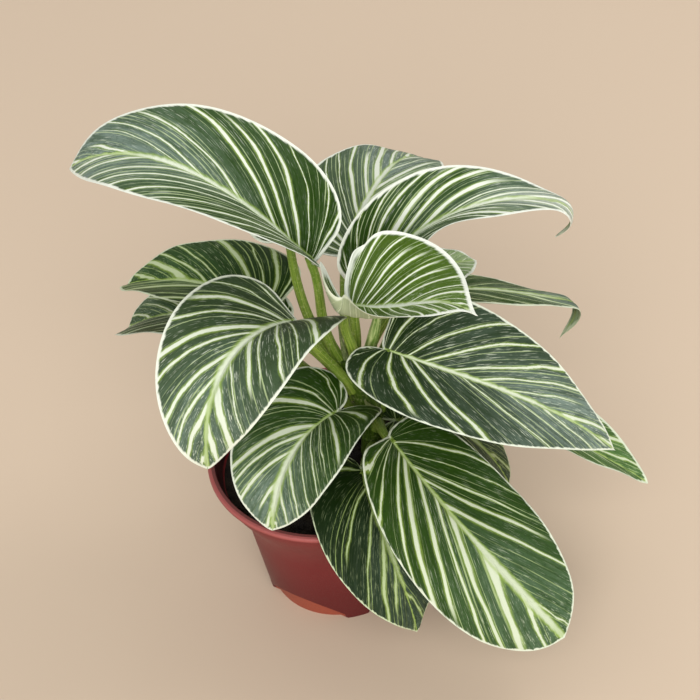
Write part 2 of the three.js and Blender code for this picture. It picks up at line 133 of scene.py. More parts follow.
class Graph:
    """A node tree with short ways to add and link its nodes."""

    def __init__(self, tree: Tree) -> None:
        """Keep the tree that the nodes go into."""
        self.tree = tree

    def put(self, socket: Socket, value: Value) -> None:
        """Link a socket to another, or set its constant.

        Args:
            socket: The input.
            value: The socket it is linked to, or its constant.
        """
        if isinstance(value, Socket):
            self.tree.links.new(value, socket)
        else:
            socket.default_value = value

    def add(self, kind: str, inputs: dict | None = None, **settings: object) -> Node:
        """Return a new node.

        Args:
            kind: The node's type.
            inputs: The value of each input by its name or its index.
            settings: The node's own settings.

        Returns:
            The node.
        """
        node = self.tree.nodes.new(kind)
        for name, value in settings.items():
            setattr(node, name, value)
        for key, value in (inputs or {}).items():
            self.put(node.inputs[key], value)
        return node

    def math(self, operation: str, *values: Value) -> Socket:
        """Return the result of a Math node."""
        return self.add("ShaderNodeMath", dict(enumerate(values)), operation=operation).outputs[0]

    def times(self, first: Value, second: Value) -> Socket:
        """Return the product of two values."""
        return self.math("MULTIPLY", first, second)

    def plus(self, first: Value, second: Value) -> Socket:
        """Return the sum of two values."""
        return self.math("ADD", first, second)

    def minus(self, first: Value, second: Value) -> Socket:
        """Return the first value less the second."""
        return self.math("SUBTRACT", first, second)

    def scaled(self, value: Value, factor: Value, offset: Value) -> Socket:
        """Return a value times a factor, plus an offset."""
        return self.math("MULTIPLY_ADD", value, factor, offset)

    def ramp(
        self, value: Value, low: Value, high: Value, start: Value = 0.0, end: Value = 1.0
    ) -> Socket:
        """Return a value taken smoothly from one range to another."""
        inputs = dict(enumerate((value, low, high, start, end)))
        return self.add("ShaderNodeMapRange", inputs, interpolation_type="SMOOTHSTEP").outputs[0]

    def blend(self, share: Value, first: Value, second: Value) -> Socket:
        """Return a colour between two, by a share."""
        inputs = {0: share, 6: first, 7: second}
        return self.add("ShaderNodeMix", inputs, data_type="RGBA").outputs[2]

    def between(self, share: Value, first: Value, second: Value) -> Socket:
        """Return a number between two, by a share."""
        inputs = {0: share, 2: first, 3: second}
        return self.add("ShaderNodeMix", inputs, data_type="FLOAT").outputs[0]

    def join(self, x: Value, y: Value, z: Value = 0.0) -> Socket:
        """Return a vector of three values."""
        return self.add("ShaderNodeCombineXYZ", {0: x, 1: y, 2: z}).outputs[0]

    def split(self, vector: Socket) -> list[Socket]:
        """Return a vector's three values."""
        return list(self.add("ShaderNodeSeparateXYZ", {0: vector}).outputs)

    def noise(self, vector: Socket, scale: Value, detail: float = 2.0, rough: float = 0.5) -> Socket:
        """Return soft random values over a vector."""
        inputs = {"Vector": vector, "Scale": scale, "Detail": detail, "Roughness": rough}
        return self.add("ShaderNodeTexNoise", inputs).outputs["Fac"]

    def place(self) -> Socket:
        """Return the place on the piece in its own coordinates."""
        return self.add("ShaderNodeTexCoord").outputs["Object"]

    def call(self, group: Tree, **values: Value) -> dict[str, Socket]:
        """Return the outputs of a node group by name.

        Args:
            group: The node group.
            values: Its inputs by name, with _ for a space.

        Returns:
            The outputs by name.
        """
        inputs = {name.replace("_", " "): value for name, value in values.items()}
        node = self.add("ShaderNodeGroup", inputs, node_tree=group)
        return {socket.name: socket for socket in node.outputs}


@dataclass
class Effect:
    """A node group under construction, with named inputs and outputs.

    Attributes:
        name: The group's name.
        inputs: Each input's name and its constant, or None for a vector.
        outputs: Each output's name and whether it is a colour.
    """

    name: str
    inputs: dict[str, float | None]
    outputs: dict[str, bool]
    graph: Graph = field(init=False)
    given: dict[str, Socket] = field(init=False)
    end: Node = field(init=False)

    def __post_init__(self) -> None:
        """Make the group's sockets."""
        tree = bpy.data.node_groups.new(self.name, "ShaderNodeTree")
        for name, value in self.inputs.items():
            kind = "NodeSocketVector" if value is None else "NodeSocketFloat"
            socket = tree.interface.new_socket(name, in_out="INPUT", socket_type=kind)
            if value is not None:
                socket.default_value = value
        for name, is_colour in self.outputs.items():
            kind = "NodeSocketColor" if is_colour else "NodeSocketFloat"
            tree.interface.new_socket(name, in_out="OUTPUT", socket_type=kind)
        self.graph = Graph(tree)
        start = self.graph.add("NodeGroupInput")
        self.given = {socket.name: socket for socket in start.outputs if socket.name}
        self.end = self.graph.add("NodeGroupOutput")

    def close(self, **results: Socket) -> Tree:
        """Link the results to the outputs and return the group.

        Args:
            results: What goes to each output.

        Returns:
            The group.
        """
        for name, result in results.items():
            self.graph.put(self.end.inputs[name], result)
        return self.graph.tree


def stripe_effect() -> Tree:
    """Return the group for stripes that follow the veins, each of its own strength.

    Returns:
        The group.
    """
    inputs = {"Vein": 0.5, "Out": 0.5, "Count": 10, "Width": 0.2, "Taper": 1.0, "Presence": 1.0}
    inputs |= {"Ragged": 0.1, "Seed": 0.0}
    effect = Effect("Vein stripes", inputs, {"Mask": False, "Halo": False})
    g, given = effect.graph, effect.given
    vein, out, seed = given["Vein"], given["Out"], given["Seed"]

    def grain(per_vein: float, per_length: float, detail: float, rough: float = 0.5) -> Socket:
        """Return noise about 0 that is drawn out along the veins."""
        place = g.join(g.times(vein, per_vein), g.times(out, per_length), seed)
        return g.minus(g.noise(place, 1.0, detail, rough), 0.5)

    drift = g.times(grain(9.0, 2.2, 1.0), 0.5)
    fraying = g.times(grain(240.0, 20.0, 3.0, 0.7), given["Ragged"])
    run = g.plus(g.times(vein, given["Count"]), g.plus(seed, drift))
    cell = {"Vector": g.join(g.math("FLOOR", run), seed)}
    chance = g.add("ShaderNodeTexWhiteNoise", cell, noise_dimensions="2D")
    place, size, shown = g.split(chance.outputs["Color"])
    middle = g.scaled(g.minus(place, 0.5), 0.35, 0.5)
    away = g.math("ABSOLUTE", g.minus(g.math("FRACT", run), middle))

    slimmer_outward = g.between(g.math("POWER", out, 0.6), given["Taper"], 1.0)
    wider_to_tip = g.ramp(vein, 0.15, 0.85, 0.7, 1.08)
    wide = g.times(g.scaled(size, 1.3, 0.25), given["Width"])
    wide = g.plus(g.times(wide, g.times(slimmer_outward, wider_to_tip)), fraying)

    ending = g.scaled(g.math("FRACT", g.times(size, 7.7)), 1.0, 0.8)
    lasts = g.ramp(out, g.minus(ending, 0.25), ending, 1.0, 0.0)
    there = g.times(g.math("LESS_THAN", shown, given["Presence"]), lasts)
    mask = g.ramp(away, g.times(wide, 0.7), g.scaled(wide, 1.15, 0.01), 1.0, 0.0)
    halo = g.ramp(away, wide, g.scaled(wide, 2.0, 0.05), 1.0, 0.0)
    return effect.close(Mask=g.times(mask, there), Halo=g.times(halo, there))


def mottle_effect() -> Tree:
    """Return the group for cloudy mottling with fine specks on top.

    Returns:
        The group.
    """
    effect = Effect(
        "Mottle",
        {"Vector": None, "Cloud Scale": 30.0, "Speck Scale": 900.0},
        {"Cloud": False, "Speck": False},
    )
    g, given = effect.graph, effect.given
    cloud = g.ramp(g.noise(given["Vector"], given["Cloud Scale"], 3.0), 0.3, 0.7)
    speck = g.ramp(g.noise(given["Vector"], given["Speck Scale"], 2.0), 0.52, 0.72)
    return effect.close(Cloud=cloud, Speck=speck)


def fibre_effect() -> Tree:
    """Return the group for fine lines that run along a stalk.

    Returns:
        The group.
    """
    effect = Effect("Fibres", {"Along": 0.5, "Round": 0.5, "Count": 40.0, "Seed": 0.0}, {"Line": False})
    g, given = effect.graph, effect.given
    turn = g.times(given["Round"], 2 * math.pi)
    ring = g.times(given["Count"], 0.16)
    x = g.times(g.math("COSINE", turn), ring)
    y = g.times(g.math("SINE", turn), ring)
    run = g.scaled(given["Along"], 3.0, given["Seed"])
    line = g.ramp(g.noise(g.join(x, y, run), 1.0, 2.0), 0.35, 0.68)
    return effect.close(Line=line)


@dataclass(frozen=True)
class Shader:
    """A principled material under construction.

    Attributes:
        name: The material's name.
        roughness: The gloss where nothing varies it.
        specular: How strongly the surface reflects.
    """

    name: str
    roughness: float = 0.5
    specular: float = 0.5

    def start(self) -> tuple[Material, Graph, Node]:
        """Start the material's node tree.

        Returns:
            The material, its graph and its shader node.
        """
        material = bpy.data.materials.new(self.name)
        material.use_nodes = True
        material.node_tree.nodes.clear()
        graph = Graph(material.node_tree)
        gloss = {"Roughness": self.roughness, "Specular IOR Level": self.specular}
        shader = graph.add("ShaderNodeBsdfPrincipled", gloss)
        graph.add("ShaderNodeOutputMaterial", {"Surface": shader.outputs[0]})
        return material, graph, shader

    @staticmethod
    def bump(graph: Graph, shader: Node, height: Socket, depth: float) -> None:
        """Raise the surface by a height from 0 to 1 times a depth in metres."""
        node = graph.add("ShaderNodeBump", {"Distance": depth, "Strength": 1.0, "Height": height})
        graph.put(shader.inputs["Normal"], node.outputs[0])


class BladeMap:
    """Where a shaded point lies on its blade, as values in the material's node tree.

    Attributes:
        vein: Which vein the point lies on, from 0 at the notch to 1 at the tip.
        side: -1 on the left half and 1 on the right.
        out: How far out along its vein it lies.
        half: A seed of its own for each half of each blade.
        rib, edge: How far it is from the midrib and from the margin, in millimetres.
        under: 1 on the underside.
        share: Where its vein leaves the midrib, as a share of the length.
        cloud, speck: Soft and fine mottling.
        shade: Darker and lighter streaks along the veins.
    """

    def __init__(self, g: Graph, seed: float, mottle: Tree) -> None:
        """Read the blade's map and mark it with noise.

        Args:
            g: The material's graph.
            seed: What sets this blade apart.
            mottle: The group for mottling.
        """
        self.g = g
        self.vein, across, _ = g.split(g.add("ShaderNodeUVMap", uv_map="veins").outputs[0])
        signed = g.scaled(across, 2.0, -1.0)
        self.side = g.math("SIGN", signed)
        self.out = g.math("ABSOLUTE", signed)
        self.half = g.scaled(self.side, 3.7, seed * 11.3)
        facts = g.add("ShaderNodeAttribute", attribute_name="blade").outputs["Vector"]
        self.rib, self.edge, self.under = g.split(facts)
        self.share = g.math("POWER", self.vein, LeafShape.VEIN_GATHER)
        spots = g.call(mottle, Vector=g.place(), Cloud_Scale=45.0, Speck_Scale=700.0)
        self.cloud, self.speck = spots["Cloud"], spots["Speck"]
        self.shade = g.ramp(self.grain(46.0, 3.0), 0.35, 0.7)

    def grain(
        self, per_vein: float, per_length: float, detail: float = 2.0, rough: float = 0.5
    ) -> Socket:
        """Return noise that is drawn out along the veins.

        Args:
            per_vein: How fine it is across the veins.
            per_length: How fine it is along them.
            detail: The layers of finer noise.
            rough: How strong the finer layers are.

        Returns:
            The noise.
        """
        g = self.g
        place = g.join(g.times(self.vein, per_vein), g.times(self.out, per_length), self.half)
        return g.noise(place, 1.0, detail, rough)


@dataclass(frozen=True)
class LeafFinish:
    """The colours and the striping of one blade.

    Attributes:
        seed: What sets this blade's stripes apart.
        deep: The green near the stalk and along the darker veins.
        green: The green of the open blade.
        painted_sheen: How far the open blade turns to a pale green that is painted sheen.
        cream: How pale the stripes are, from lime to cream.
        broad: How many broad stripes a half may hold, their width and how many show.
        fine: The same for the fine lines.
        taper: How much broader a stripe starts at the midrib than it ends.
        midrib: Half the width of the pale midrib in millimetres.
        margin: The width of the pale margin in millimetres.
        spindle: From and to which share of its length the midrib is broad and white.
        flecks: How dense the pale flecks are.
        ragged: How far the stripes' edges fray.
        below: The colour of the underside.
        frost: How far the blade whitens towards its tip.
        busier: How much denser the stripes are on the right half than on the left.
    """

    seed: float
    deep: Triple = (36, 64, 6)
    green: Triple = (66, 98, 28)
    painted_sheen: float = 0.5
    cream: float = 0.8
    broad: Triple = (13, 0.075, 0.9)
    fine: Triple = (38, 0.085, 0.65)
    taper: float = 1.5
    midrib: float = 1.3
    margin: float = 1.3
    spindle: Pair = (0.15, 0.65)
    flecks: float = 0.5
    ragged: float = 0.11
    below: Triple = (122, 140, 92)
    frost: float = 0.0
    busier: float = 0.0

    LIME = colour((150, 178, 78))
    CREAM = colour((224, 230, 218))
    WHITE = colour((250, 252, 246))
    # Painted sheen: the pale dull green that stands in for light reflected off the glossy blade.
    SHEEN_GREEN = colour((114, 132, 122))
    PORE = colour((20, 34, 20))
    VEIN_RELIEF = 0.00035
    STREAKED = 0.55
    PORED = 0.25
    HALO_SHARE = 0.55
    LINE_SHARE = 0.4
    UNDER_SHARE = 0.55
    SHEEN_FROM_BASE = (0.0, 0.6, 0.5, 1.2)
    OPEN_FROM_BASE = (14.0, 80.0)
    LINES_BY_SHADE = (0.0, 1.0, 0.7, 0.2)
    FLECKS_BY_VEIN = (0.1, 0.8, 0.4, 1.5)
    FROST_BY_LENGTH = (0.3, 0.9)

    def ground(self, at: BladeMap) -> Socket:
        """Return the green under the stripes: deep by the stalk, with painted sheen farther out.

        Args:
            at: The point on the blade.

        Returns:
            The colour.
        """
        g = at.g
        deep = colour(self.deep)
        # The open blade is mixed towards a pale green that paints its sheen.
        sheen_share = g.times(g.ramp(at.share, *self.SHEEN_FROM_BASE), self.painted_sheen)
        open_blade = g.blend(sheen_share, colour(self.green), self.SHEEN_GREEN)
        reach = g.plus(g.times(at.rib, 0.6), g.times(at.share, 110.0))
        opening = g.ramp(g.scaled(at.cloud, 16.0, reach), *self.OPEN_FROM_BASE)
        tone = g.blend(opening, deep, open_blade)
        tone = g.blend(g.times(at.shade, self.STREAKED), tone, deep)
        return g.blend(g.times(at.speck, self.PORED), tone, self.PORE)

    def stripes(self, at: BladeMap, group: Tree, broad: bool) -> dict[str, Socket]:
        """Return the mask and the halo of the broad stripes or of the fine lines.

        Args:
            at: The point on the blade.
            group: The group for stripes.
            broad: Whether the broad stripes are meant.

        Returns:
            The values by name.
        """
        g = at.g
        count, width, presence = self.broad if broad else self.fine
        taper = self.taper if broad else max(1.0, 0.6 * self.taper)
        seed = g.plus(at.half, 0.0 if broad else 5.0)
        busy = g.scaled(at.side, self.busier, 1.0)
        return g.call(
            group, Vein=at.vein, Out=at.out, Count=count, Width=g.times(busy, width), Taper=taper,
            Presence=g.times(busy, presence), Ragged=self.ragged, Seed=seed,
        )

    def striped(self, at: BladeMap, pale: Socket, group: Tree) -> tuple[Socket, Socket]:
        """Lay the flecks, the fine lines and the broad stripes on the green.

        Args:
            at: The point on the blade.
            pale: The stripes' colour.
            group: The group for stripes.

        Returns:
            The colour so far, and where the broad stripes lie.
        """
        g = at.g
        broad, fine = self.stripes(at, group, True), self.stripes(at, group, False)
        dashes = g.ramp(at.grain(230.0, 8.0, 2.0, 0.6), 0.56, 0.72)
        cluster = g.times(dashes, g.scaled(at.cloud, 0.8, 0.2))
        fleck = g.times(g.times(cluster, self.flecks), g.ramp(at.vein, *self.FLECKS_BY_VEIN))
        line = g.times(fine["Mask"], g.ramp(at.shade, *self.LINES_BY_SHADE))
        frosted = g.times(g.ramp(at.share, *self.FROST_BY_LENGTH), self.frost)
        tone = self.ground(at)
        for share, laid in (
            (g.times(broad["Halo"], self.HALO_SHARE), self.LIME),
            (fleck, pale),
            (line, g.blend(self.LINE_SHARE, self.LIME, pale)),
            (broad["Mask"], pale),
            (frosted, self.WHITE),
        ):
            tone = g.blend(share, tone, laid)
        return tone, broad["Mask"]

    def framed(self, at: BladeMap, tone: Socket, pale: Socket) -> Socket:
        """Lay the pale midrib and the white margin over the stripes.

        Args:
            at: The point on the blade.
            tone: The colour so far.
            pale: The stripes' colour.

        Returns:
            The finished colour of the upper side.
        """
        g = at.g
        wobble = g.scaled(g.noise(g.place(), 260.0, 2.0), 1.6, -0.8)
        start, end = self.spindle
        rising = g.ramp(at.share, start - 0.15, start + 0.1, 0.45, 1.0)
        falling = g.ramp(at.share, end - 0.15, end + 0.15, 1.0, 0.35)
        whiteness = g.times(rising, falling)
        away = g.math("DIVIDE", g.plus(at.rib, wobble), g.times(whiteness, self.midrib))
        halo = g.times(g.ramp(away, 1.0, 1.9, 1.0, 0.0), 0.6)
        core = g.times(g.ramp(away, 0.4, 1.3, 1.0, 0.0), g.ramp(at.rib, 0.0, 0.5, 0.95, 0.85))
        tone = g.blend(halo, tone, self.LIME)
        tone = g.blend(core, tone, g.blend(g.ramp(whiteness, 0.4, 0.9, 0.35, 1.0), self.LIME, pale))
        unevenness = g.noise(g.join(g.times(at.vein, 60.0), at.half), 1.0, 2.0)
        inward = g.plus(g.scaled(wobble, 0.5, at.edge), g.scaled(unevenness, -1.6, 0.8))
        rim = g.ramp(inward, self.margin * 0.55, self.margin * 1.15, 1.0, 0.0)
        return g.blend(rim, tone, g.blend(0.25, pale, self.WHITE))

    def material(self, name: str, stripes: Tree, mottle: Tree) -> Material:
        """Return the blade's material.

        Args:
            name: The leaf's name.
            stripes: The group for stripes.
            mottle: The group for mottling.

        Returns:
            The finished material.
        """
        material, g, shader = Shader(f"{name} blade", roughness=0.5, specular=0.14).start()
        at = BladeMap(g, self.seed, mottle)
        pale = g.blend(self.cream, self.LIME, self.CREAM)
        tone, broad = self.striped(at, pale, stripes)
        tone = self.framed(at, tone, pale)
        below = g.blend(self.UNDER_SHARE, tone, colour(self.below))
        tone = g.blend(g.ramp(at.under, 0.45, 0.55), tone, below)
        g.put(shader.inputs["Base Color"], tone)
        g.put(shader.inputs["Roughness"], g.scaled(at.shade, 0.12, 0.44))
        height = g.plus(at.grain(75.0, 1.5, 1.0), g.times(broad, 0.25))
        Shader.bump(g, shader, height, self.VEIN_RELIEF)
        return material


@dataclass(frozen=True)
class StalkFinish:
    """Green skin of a stem or a stalk with fine lines along it."""

    name: str
    light: Triple = (166, 190, 84)
    dark: Triple = (98, 132, 34)
    speckle: float = 0.35
    fibres: float = 40.0

    SPECK = (205, 212, 150)
    LINE_RELIEF = 0.0002

    def material(self, lines: Tree, mottle: Tree) -> Material:
        """Return the skin's material.

        Args:
            lines: The group for fine lines.
            mottle: The group for mottling.

        Returns:
            The material.
        """
        material, g, shader = Shader(self.name, roughness=0.42, specular=0.4).start()
        uv = g.add("ShaderNodeUVMap", uv_map="veins").outputs[0]
        along, around, _ = g.split(uv)
        line = g.call(lines, Along=along, Round=around, Count=self.fibres)["Line"]
        spots = g.call(mottle, Vector=g.place(), Cloud_Scale=60.0, Speck_Scale=800.0)
        tone = g.blend(line, colour(self.dark), colour(self.light))
        tone = g.blend(g.times(spots["Cloud"], 0.4), tone, colour(self.dark))
        tone = g.blend(g.times(spots["Speck"], self.speckle), tone, colour(self.SPECK))
        g.put(shader.inputs["Base Color"], tone)
        Shader.bump(g, shader, line, self.LINE_RELIEF)
        return material


@dataclass(frozen=True)
class PotFinish:
    """Satin red moulded plastic, a little scuffed, with painted shade low and inside, painted bounce
    light in the arches and a painted highlight on the lip.
    """

    red: Triple = (116, 28, 33)
    # Painted shade: the wall turns to this darker red towards the foot.
    low: Triple = (74, 6, 12)
    worn: Triple = (150, 66, 62)
    # Painted bounce light: the paler orange of the wall set back in the arches, lit from the floor.
    painted_bounce: Triple = (168, 84, 62)
    pits: Triple = (96, 24, 26)
    # Painted highlight: the paler red on the top of the rolled lip, where light from above falls.
    lip: Triple = (196, 112, 108)
    # Painted shade: near black on the inner wall above the soil, which lies in shadow.
    inside_shade: Triple = (12, 9, 8)

    FOOT_RADIUS = 0.038
    WALL_SLOPE = 0.136
    RECESS_DEPTH = (0.0006, 0.0014)
    RECESS_TOP = 0.03
    INSIDE_FROM = 0.06
    INSIDE_RADIUS = (0.06, 0.085, 0.0472, 0.0582)
    # Where the painted shade on the inner wall fades out with height.
    INSIDE_SHADE_FADES = (0.072, 0.082, 0.93, 0.6)
    PIT_RELIEF = 0.00008

    def masks(self, g: Graph) -> tuple[Socket, Socket, Socket]:
        """Find the parts of the pot that are coloured apart.

        Args:
            g: The material's graph.

        Returns:
            The height, where the foot is recessed, and where the inner wall is painted dark as shade.
        """
        x, y, height = g.split(g.place())
        reach = g.math("SQRT", g.plus(g.times(x, x), g.times(y, y)))
        behind_wall = g.minus(g.scaled(height, self.WALL_SLOPE, self.FOOT_RADIUS), reach)
        low = g.math("LESS_THAN", height, self.RECESS_TOP)
        recess = g.times(g.ramp(behind_wall, *self.RECESS_DEPTH), low)
        within_wall = g.math("LESS_THAN", reach, g.ramp(height, *self.INSIDE_RADIUS))
        inner = g.times(g.math("GREATER_THAN", height, self.INSIDE_FROM), within_wall)
        return height, recess, g.times(inner, g.ramp(height, *self.INSIDE_SHADE_FADES))

    def material(self, mottle: Tree) -> Material:
        """Return the plastic's material.

        Args:
            mottle: The group for mottling.

        Returns:
            The material.
        """
        material, g, shader = Shader("pot plastic", roughness=0.48, specular=0.4).start()
        spots = g.call(mottle, Vector=g.place(), Cloud_Scale=22.0, Speck_Scale=1300.0)
        height, recess, shaded_inside = self.masks(g)
        tone = colour(self.red)
        for share, laid in (
            (g.times(spots["Cloud"], 0.25), self.worn),
            # Painted shade, darker towards the foot.
            (g.ramp(height, 0.0, 0.065, 0.65, 0.0), self.low),
            # Painted bounce light on the wall set back in the arches.
            (g.times(recess, 0.8), self.painted_bounce),
            (g.times(spots["Speck"], 0.2), self.pits),
            # Painted highlight along the top of the lip.
            (g.times(g.ramp(height, 0.0825, 0.084), 0.55), self.lip),
            # Painted shade on the inner wall above the soil.
            (shaded_inside, self.inside_shade),
        ):
            tone = g.blend(share, tone, colour(laid))
        g.put(shader.inputs["Base Color"], tone)
        g.put(shader.inputs["Roughness"], g.scaled(spots["Cloud"], 0.12, 0.42))
        Shader.bump(g, shader, spots["Speck"], self.PIT_RELIEF)
        return material


@dataclass(frozen=True)
class SoilFinish:
    """Damp, nearly black potting mix."""

    black: Triple = (20, 17, 14)
    brown: Triple = (52, 42, 32)

    GRAIN_RELIEF = 0.0006

    def material(self, mottle: Tree) -> Material:
        """Return the mix's material.

        Args:
            mottle: The group for mottling.

        Returns:
            The material.
        """
        material, g, shader = Shader("soil mix", roughness=0.85, specular=0.25).start()
        spots = g.call(mottle, Vector=g.place(), Cloud_Scale=120.0, Speck_Scale=900.0)
        tone = g.blend(g.times(spots["Cloud"], 0.6), colour(self.black), colour(self.brown))
        g.put(shader.inputs["Base Color"], tone)
        Shader.bump(g, shader, spots["Speck"], self.GRAIN_RELIEF)
        return material


class Finishes:
    """The shared effects and the finishes of the pot, the soil and the green parts."""

    def __init__(self) -> None:
        """Build each shared effect once, and the finishes made from them."""
        self.stripes = stripe_effect()
        self.mottle = mottle_effect()
        fibres = fibre_effect()
        stalk = StalkFinish("stalk skin")
        # The stem's skin is much darker than the stalks': painted shade for the dark middle of the
        # crown.
        stem = StalkFinish("stem skin", (84, 112, 28), (50, 78, 10), 0.25, 60.0)
        sheath = StalkFinish("dry sheath", (164, 176, 128), (112, 130, 78), 0.5, 24.0)
        new_leaf = StalkFinish("rolled leaf", (190, 206, 140), (96, 132, 48), 0.5, 14.0)
        self.pot = PotFinish().material(self.mottle)
        self.soil = SoilFinish().material(self.mottle)
        self.stalk = stalk.material(fibres, self.mottle)
        self.stem = stem.material(fibres, self.mottle)
        self.sheath = sheath.material(fibres, self.mottle)
        self.new_leaf = new_leaf.material(fibres, self.mottle)


def finished(name: str, body: Mesh, materials: list[Material]) -> Piece:
    """Turn a bmesh into a shown piece that rides on the plant's one body.

    Args:
        name: The piece's name.
        body: The mesh under construction, which is freed.
        materials: The materials by their index on the faces.

    Returns:
        The piece.
    """
    for edge in body.edges:
        edge.smooth = len(edge.link_faces) != 2 or edge.calc_face_angle(0.0) < SHARP_ANGLE
    for face in body.faces:
        face.smooth = True
    mesh = bpy.data.meshes.new(name)
    body.to_mesh(mesh)
    body.free()
    for material in materials:
        mesh.materials.append(material)
    piece = bpy.data.objects.new(name, mesh)
    bpy.context.scene.collection.objects.link(piece)
    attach(piece, "root")
    LOG.info("%s: %d faces", name, len(mesh.polygons))
    return piece


def sheet(body: Mesh, places: Array, wrap: Array, material: int = 0) -> list[Vert]:
    """Lay a grid of quads on given places and mark its map.

    Args:
        body: The mesh that takes the grid.
        places: The places in millimetres by row and column.
        wrap: The map's two values by row and column.
        material: The index of the faces' material.

    Returns:
        The grid's vertices by row and column, flattened.
    """
    rows, columns = places.shape[:2]
    uv = body.loops.layers.uv.get("veins") or body.loops.layers.uv.new("veins")
    grid = bmesh.ops.create_grid(body, x_segments=columns - 1, y_segments=rows - 1, size=1.0)["verts"]
    ordered = sorted(grid, key=lambda v: (round(v.co.y * (rows - 1)), v.co.x))
    marks = {}
    for vert, place, mark in zip(ordered, places.reshape(-1, 3) * MM, wrap.reshape(-1, 2)):
        vert.co = place
        marks[vert] = mark
    for face in {face for vert in ordered for face in vert.link_faces}:
        face.material_index = material
        for loop in face.loops:
            loop[uv].uv = marks[loop.vert]
    return ordered


def rings(
    centres: Array, radii: Array, sides: int, flat: float = 1.0, first: Triple = (0, 0, 1)
) -> Array:
    """Return rings of places round a line, with the last column on the first.

    Args:
        centres: The line's points.
        radii: The radius at each point, or at each point and side.
        sides: How many places a ring has.
        flat: The thickness across the first direction as a share of the width.
        first: A direction that the flat side faces at the start.

    Returns:
        The places by ring and side.
    """
    along = unit(np.gradient(centres, axis=0))
    normal = unit(np.cross(along[0], np.cross(np.array(first, float), along[0])))
    turns = np.linspace(0, 2 * math.pi, sides + 1)
    radii = np.asarray(radii, float)
    radii = radii[:, None] * np.ones(sides + 1) if radii.ndim == 1 else radii
    out = []
    for centre, direction, radius in zip(centres, along, radii):
        normal = unit(normal - direction * normal.dot(direction))
        across = np.cross(direction, normal)
        ring = np.cos(turns)[:, None] * normal * flat + np.sin(turns)[:, None] * across
        out.append(centre + ring * radius[:, None])
    return np.array(out)


def tube(body: Mesh, places: Array, material: int = 0) -> None:
    """Add a closed tube of rings with filled ends.

    Args:
        body: The mesh that takes the tube.
        places: The places by ring and side, the last column on the first.
        material: The index of the faces' material.
    """
    count, sides = places.shape[:2]
    wrap = np.stack(np.meshgrid(np.linspace(0, 1, count), np.linspace(0, 1, sides), indexing="ij"), -1)
    verts = sheet(body, places, wrap, material)
    bmesh.ops.remove_doubles(body, verts=verts, dist=WELD)
    kept = [vert for vert in verts if vert.is_valid]
    ends = [edge for edge in {e for vert in kept for e in vert.link_edges} if edge.is_boundary]
    caps = bmesh.ops.holes_fill(body, edges=ends, sides=0)["faces"]
    for face in caps:
        face.material_index = material
    bmesh.ops.recalc_face_normals(body, faces=list({f for vert in kept for f in vert.link_faces}))


@dataclass(frozen=True)
class StemLine:
    """The stem's axis and thickness, from which every stalk starts."""

    foot: Triple = (24, 4, 60)
    knees: tuple[Triple, ...] = ((24, 4, 78), (24, 4, 98))
    top: Triple = (15, 5, 142)
    radius: float = 7.6
    top_radius: float = 5.2
    samples: int = 60

    def points(self) -> Array:
        """Lay a smooth line through the foot, the knees and the top.

        Returns:
            The line's evenly spaced points.
        """
        nodes = np.array([self.foot, *self.knees, self.top], float)
        ends = [2 * nodes[0] - nodes[1], *nodes, 2 * nodes[-1] - nodes[-2]]
        pieces = []
        for a, b, c, d in zip(ends, ends[1:], ends[2:], ends[3:]):
            before, here, after = (np.linalg.norm(q - p) ** 0.5 for p, q in ((a, b), (b, c), (c, d)))
            leave = ((b - a) / before - (c - a) / (before + here) + (c - b) / here) * here
            arrive = ((c - b) / here - (d - b) / (here + after) + (d - c) / after) * here
            share = np.linspace(0, 1, self.samples, endpoint=False)
            pieces.append(bezier([b, b + leave / 3, c - arrive / 3, c], share))
        line = np.vstack([*pieces, nodes[-1:]])
        run = np.concatenate([[0], np.cumsum(np.linalg.norm(np.diff(line, axis=0), axis=1))])
        even = np.linspace(0, run[-1], 3 * self.samples + 1)
        return np.stack([np.interp(even, run, line[:, k]) for k in range(3)], 1)

    def at_height(self, height: float) -> tuple[Array, float]:
        """Find the stem's axis at a height.

        Args:
            height: The height above the floor.

        Returns:
            The axis point and the radius there.
        """
        line = self.points()
        share = np.interp(height, line[:, 2], np.linspace(0, 1, len(line)))
        point = np.array([np.interp(height, line[:, 2], line[:, k]) for k in range(3)])
        return point, mix(self.radius, self.top_radius, share)


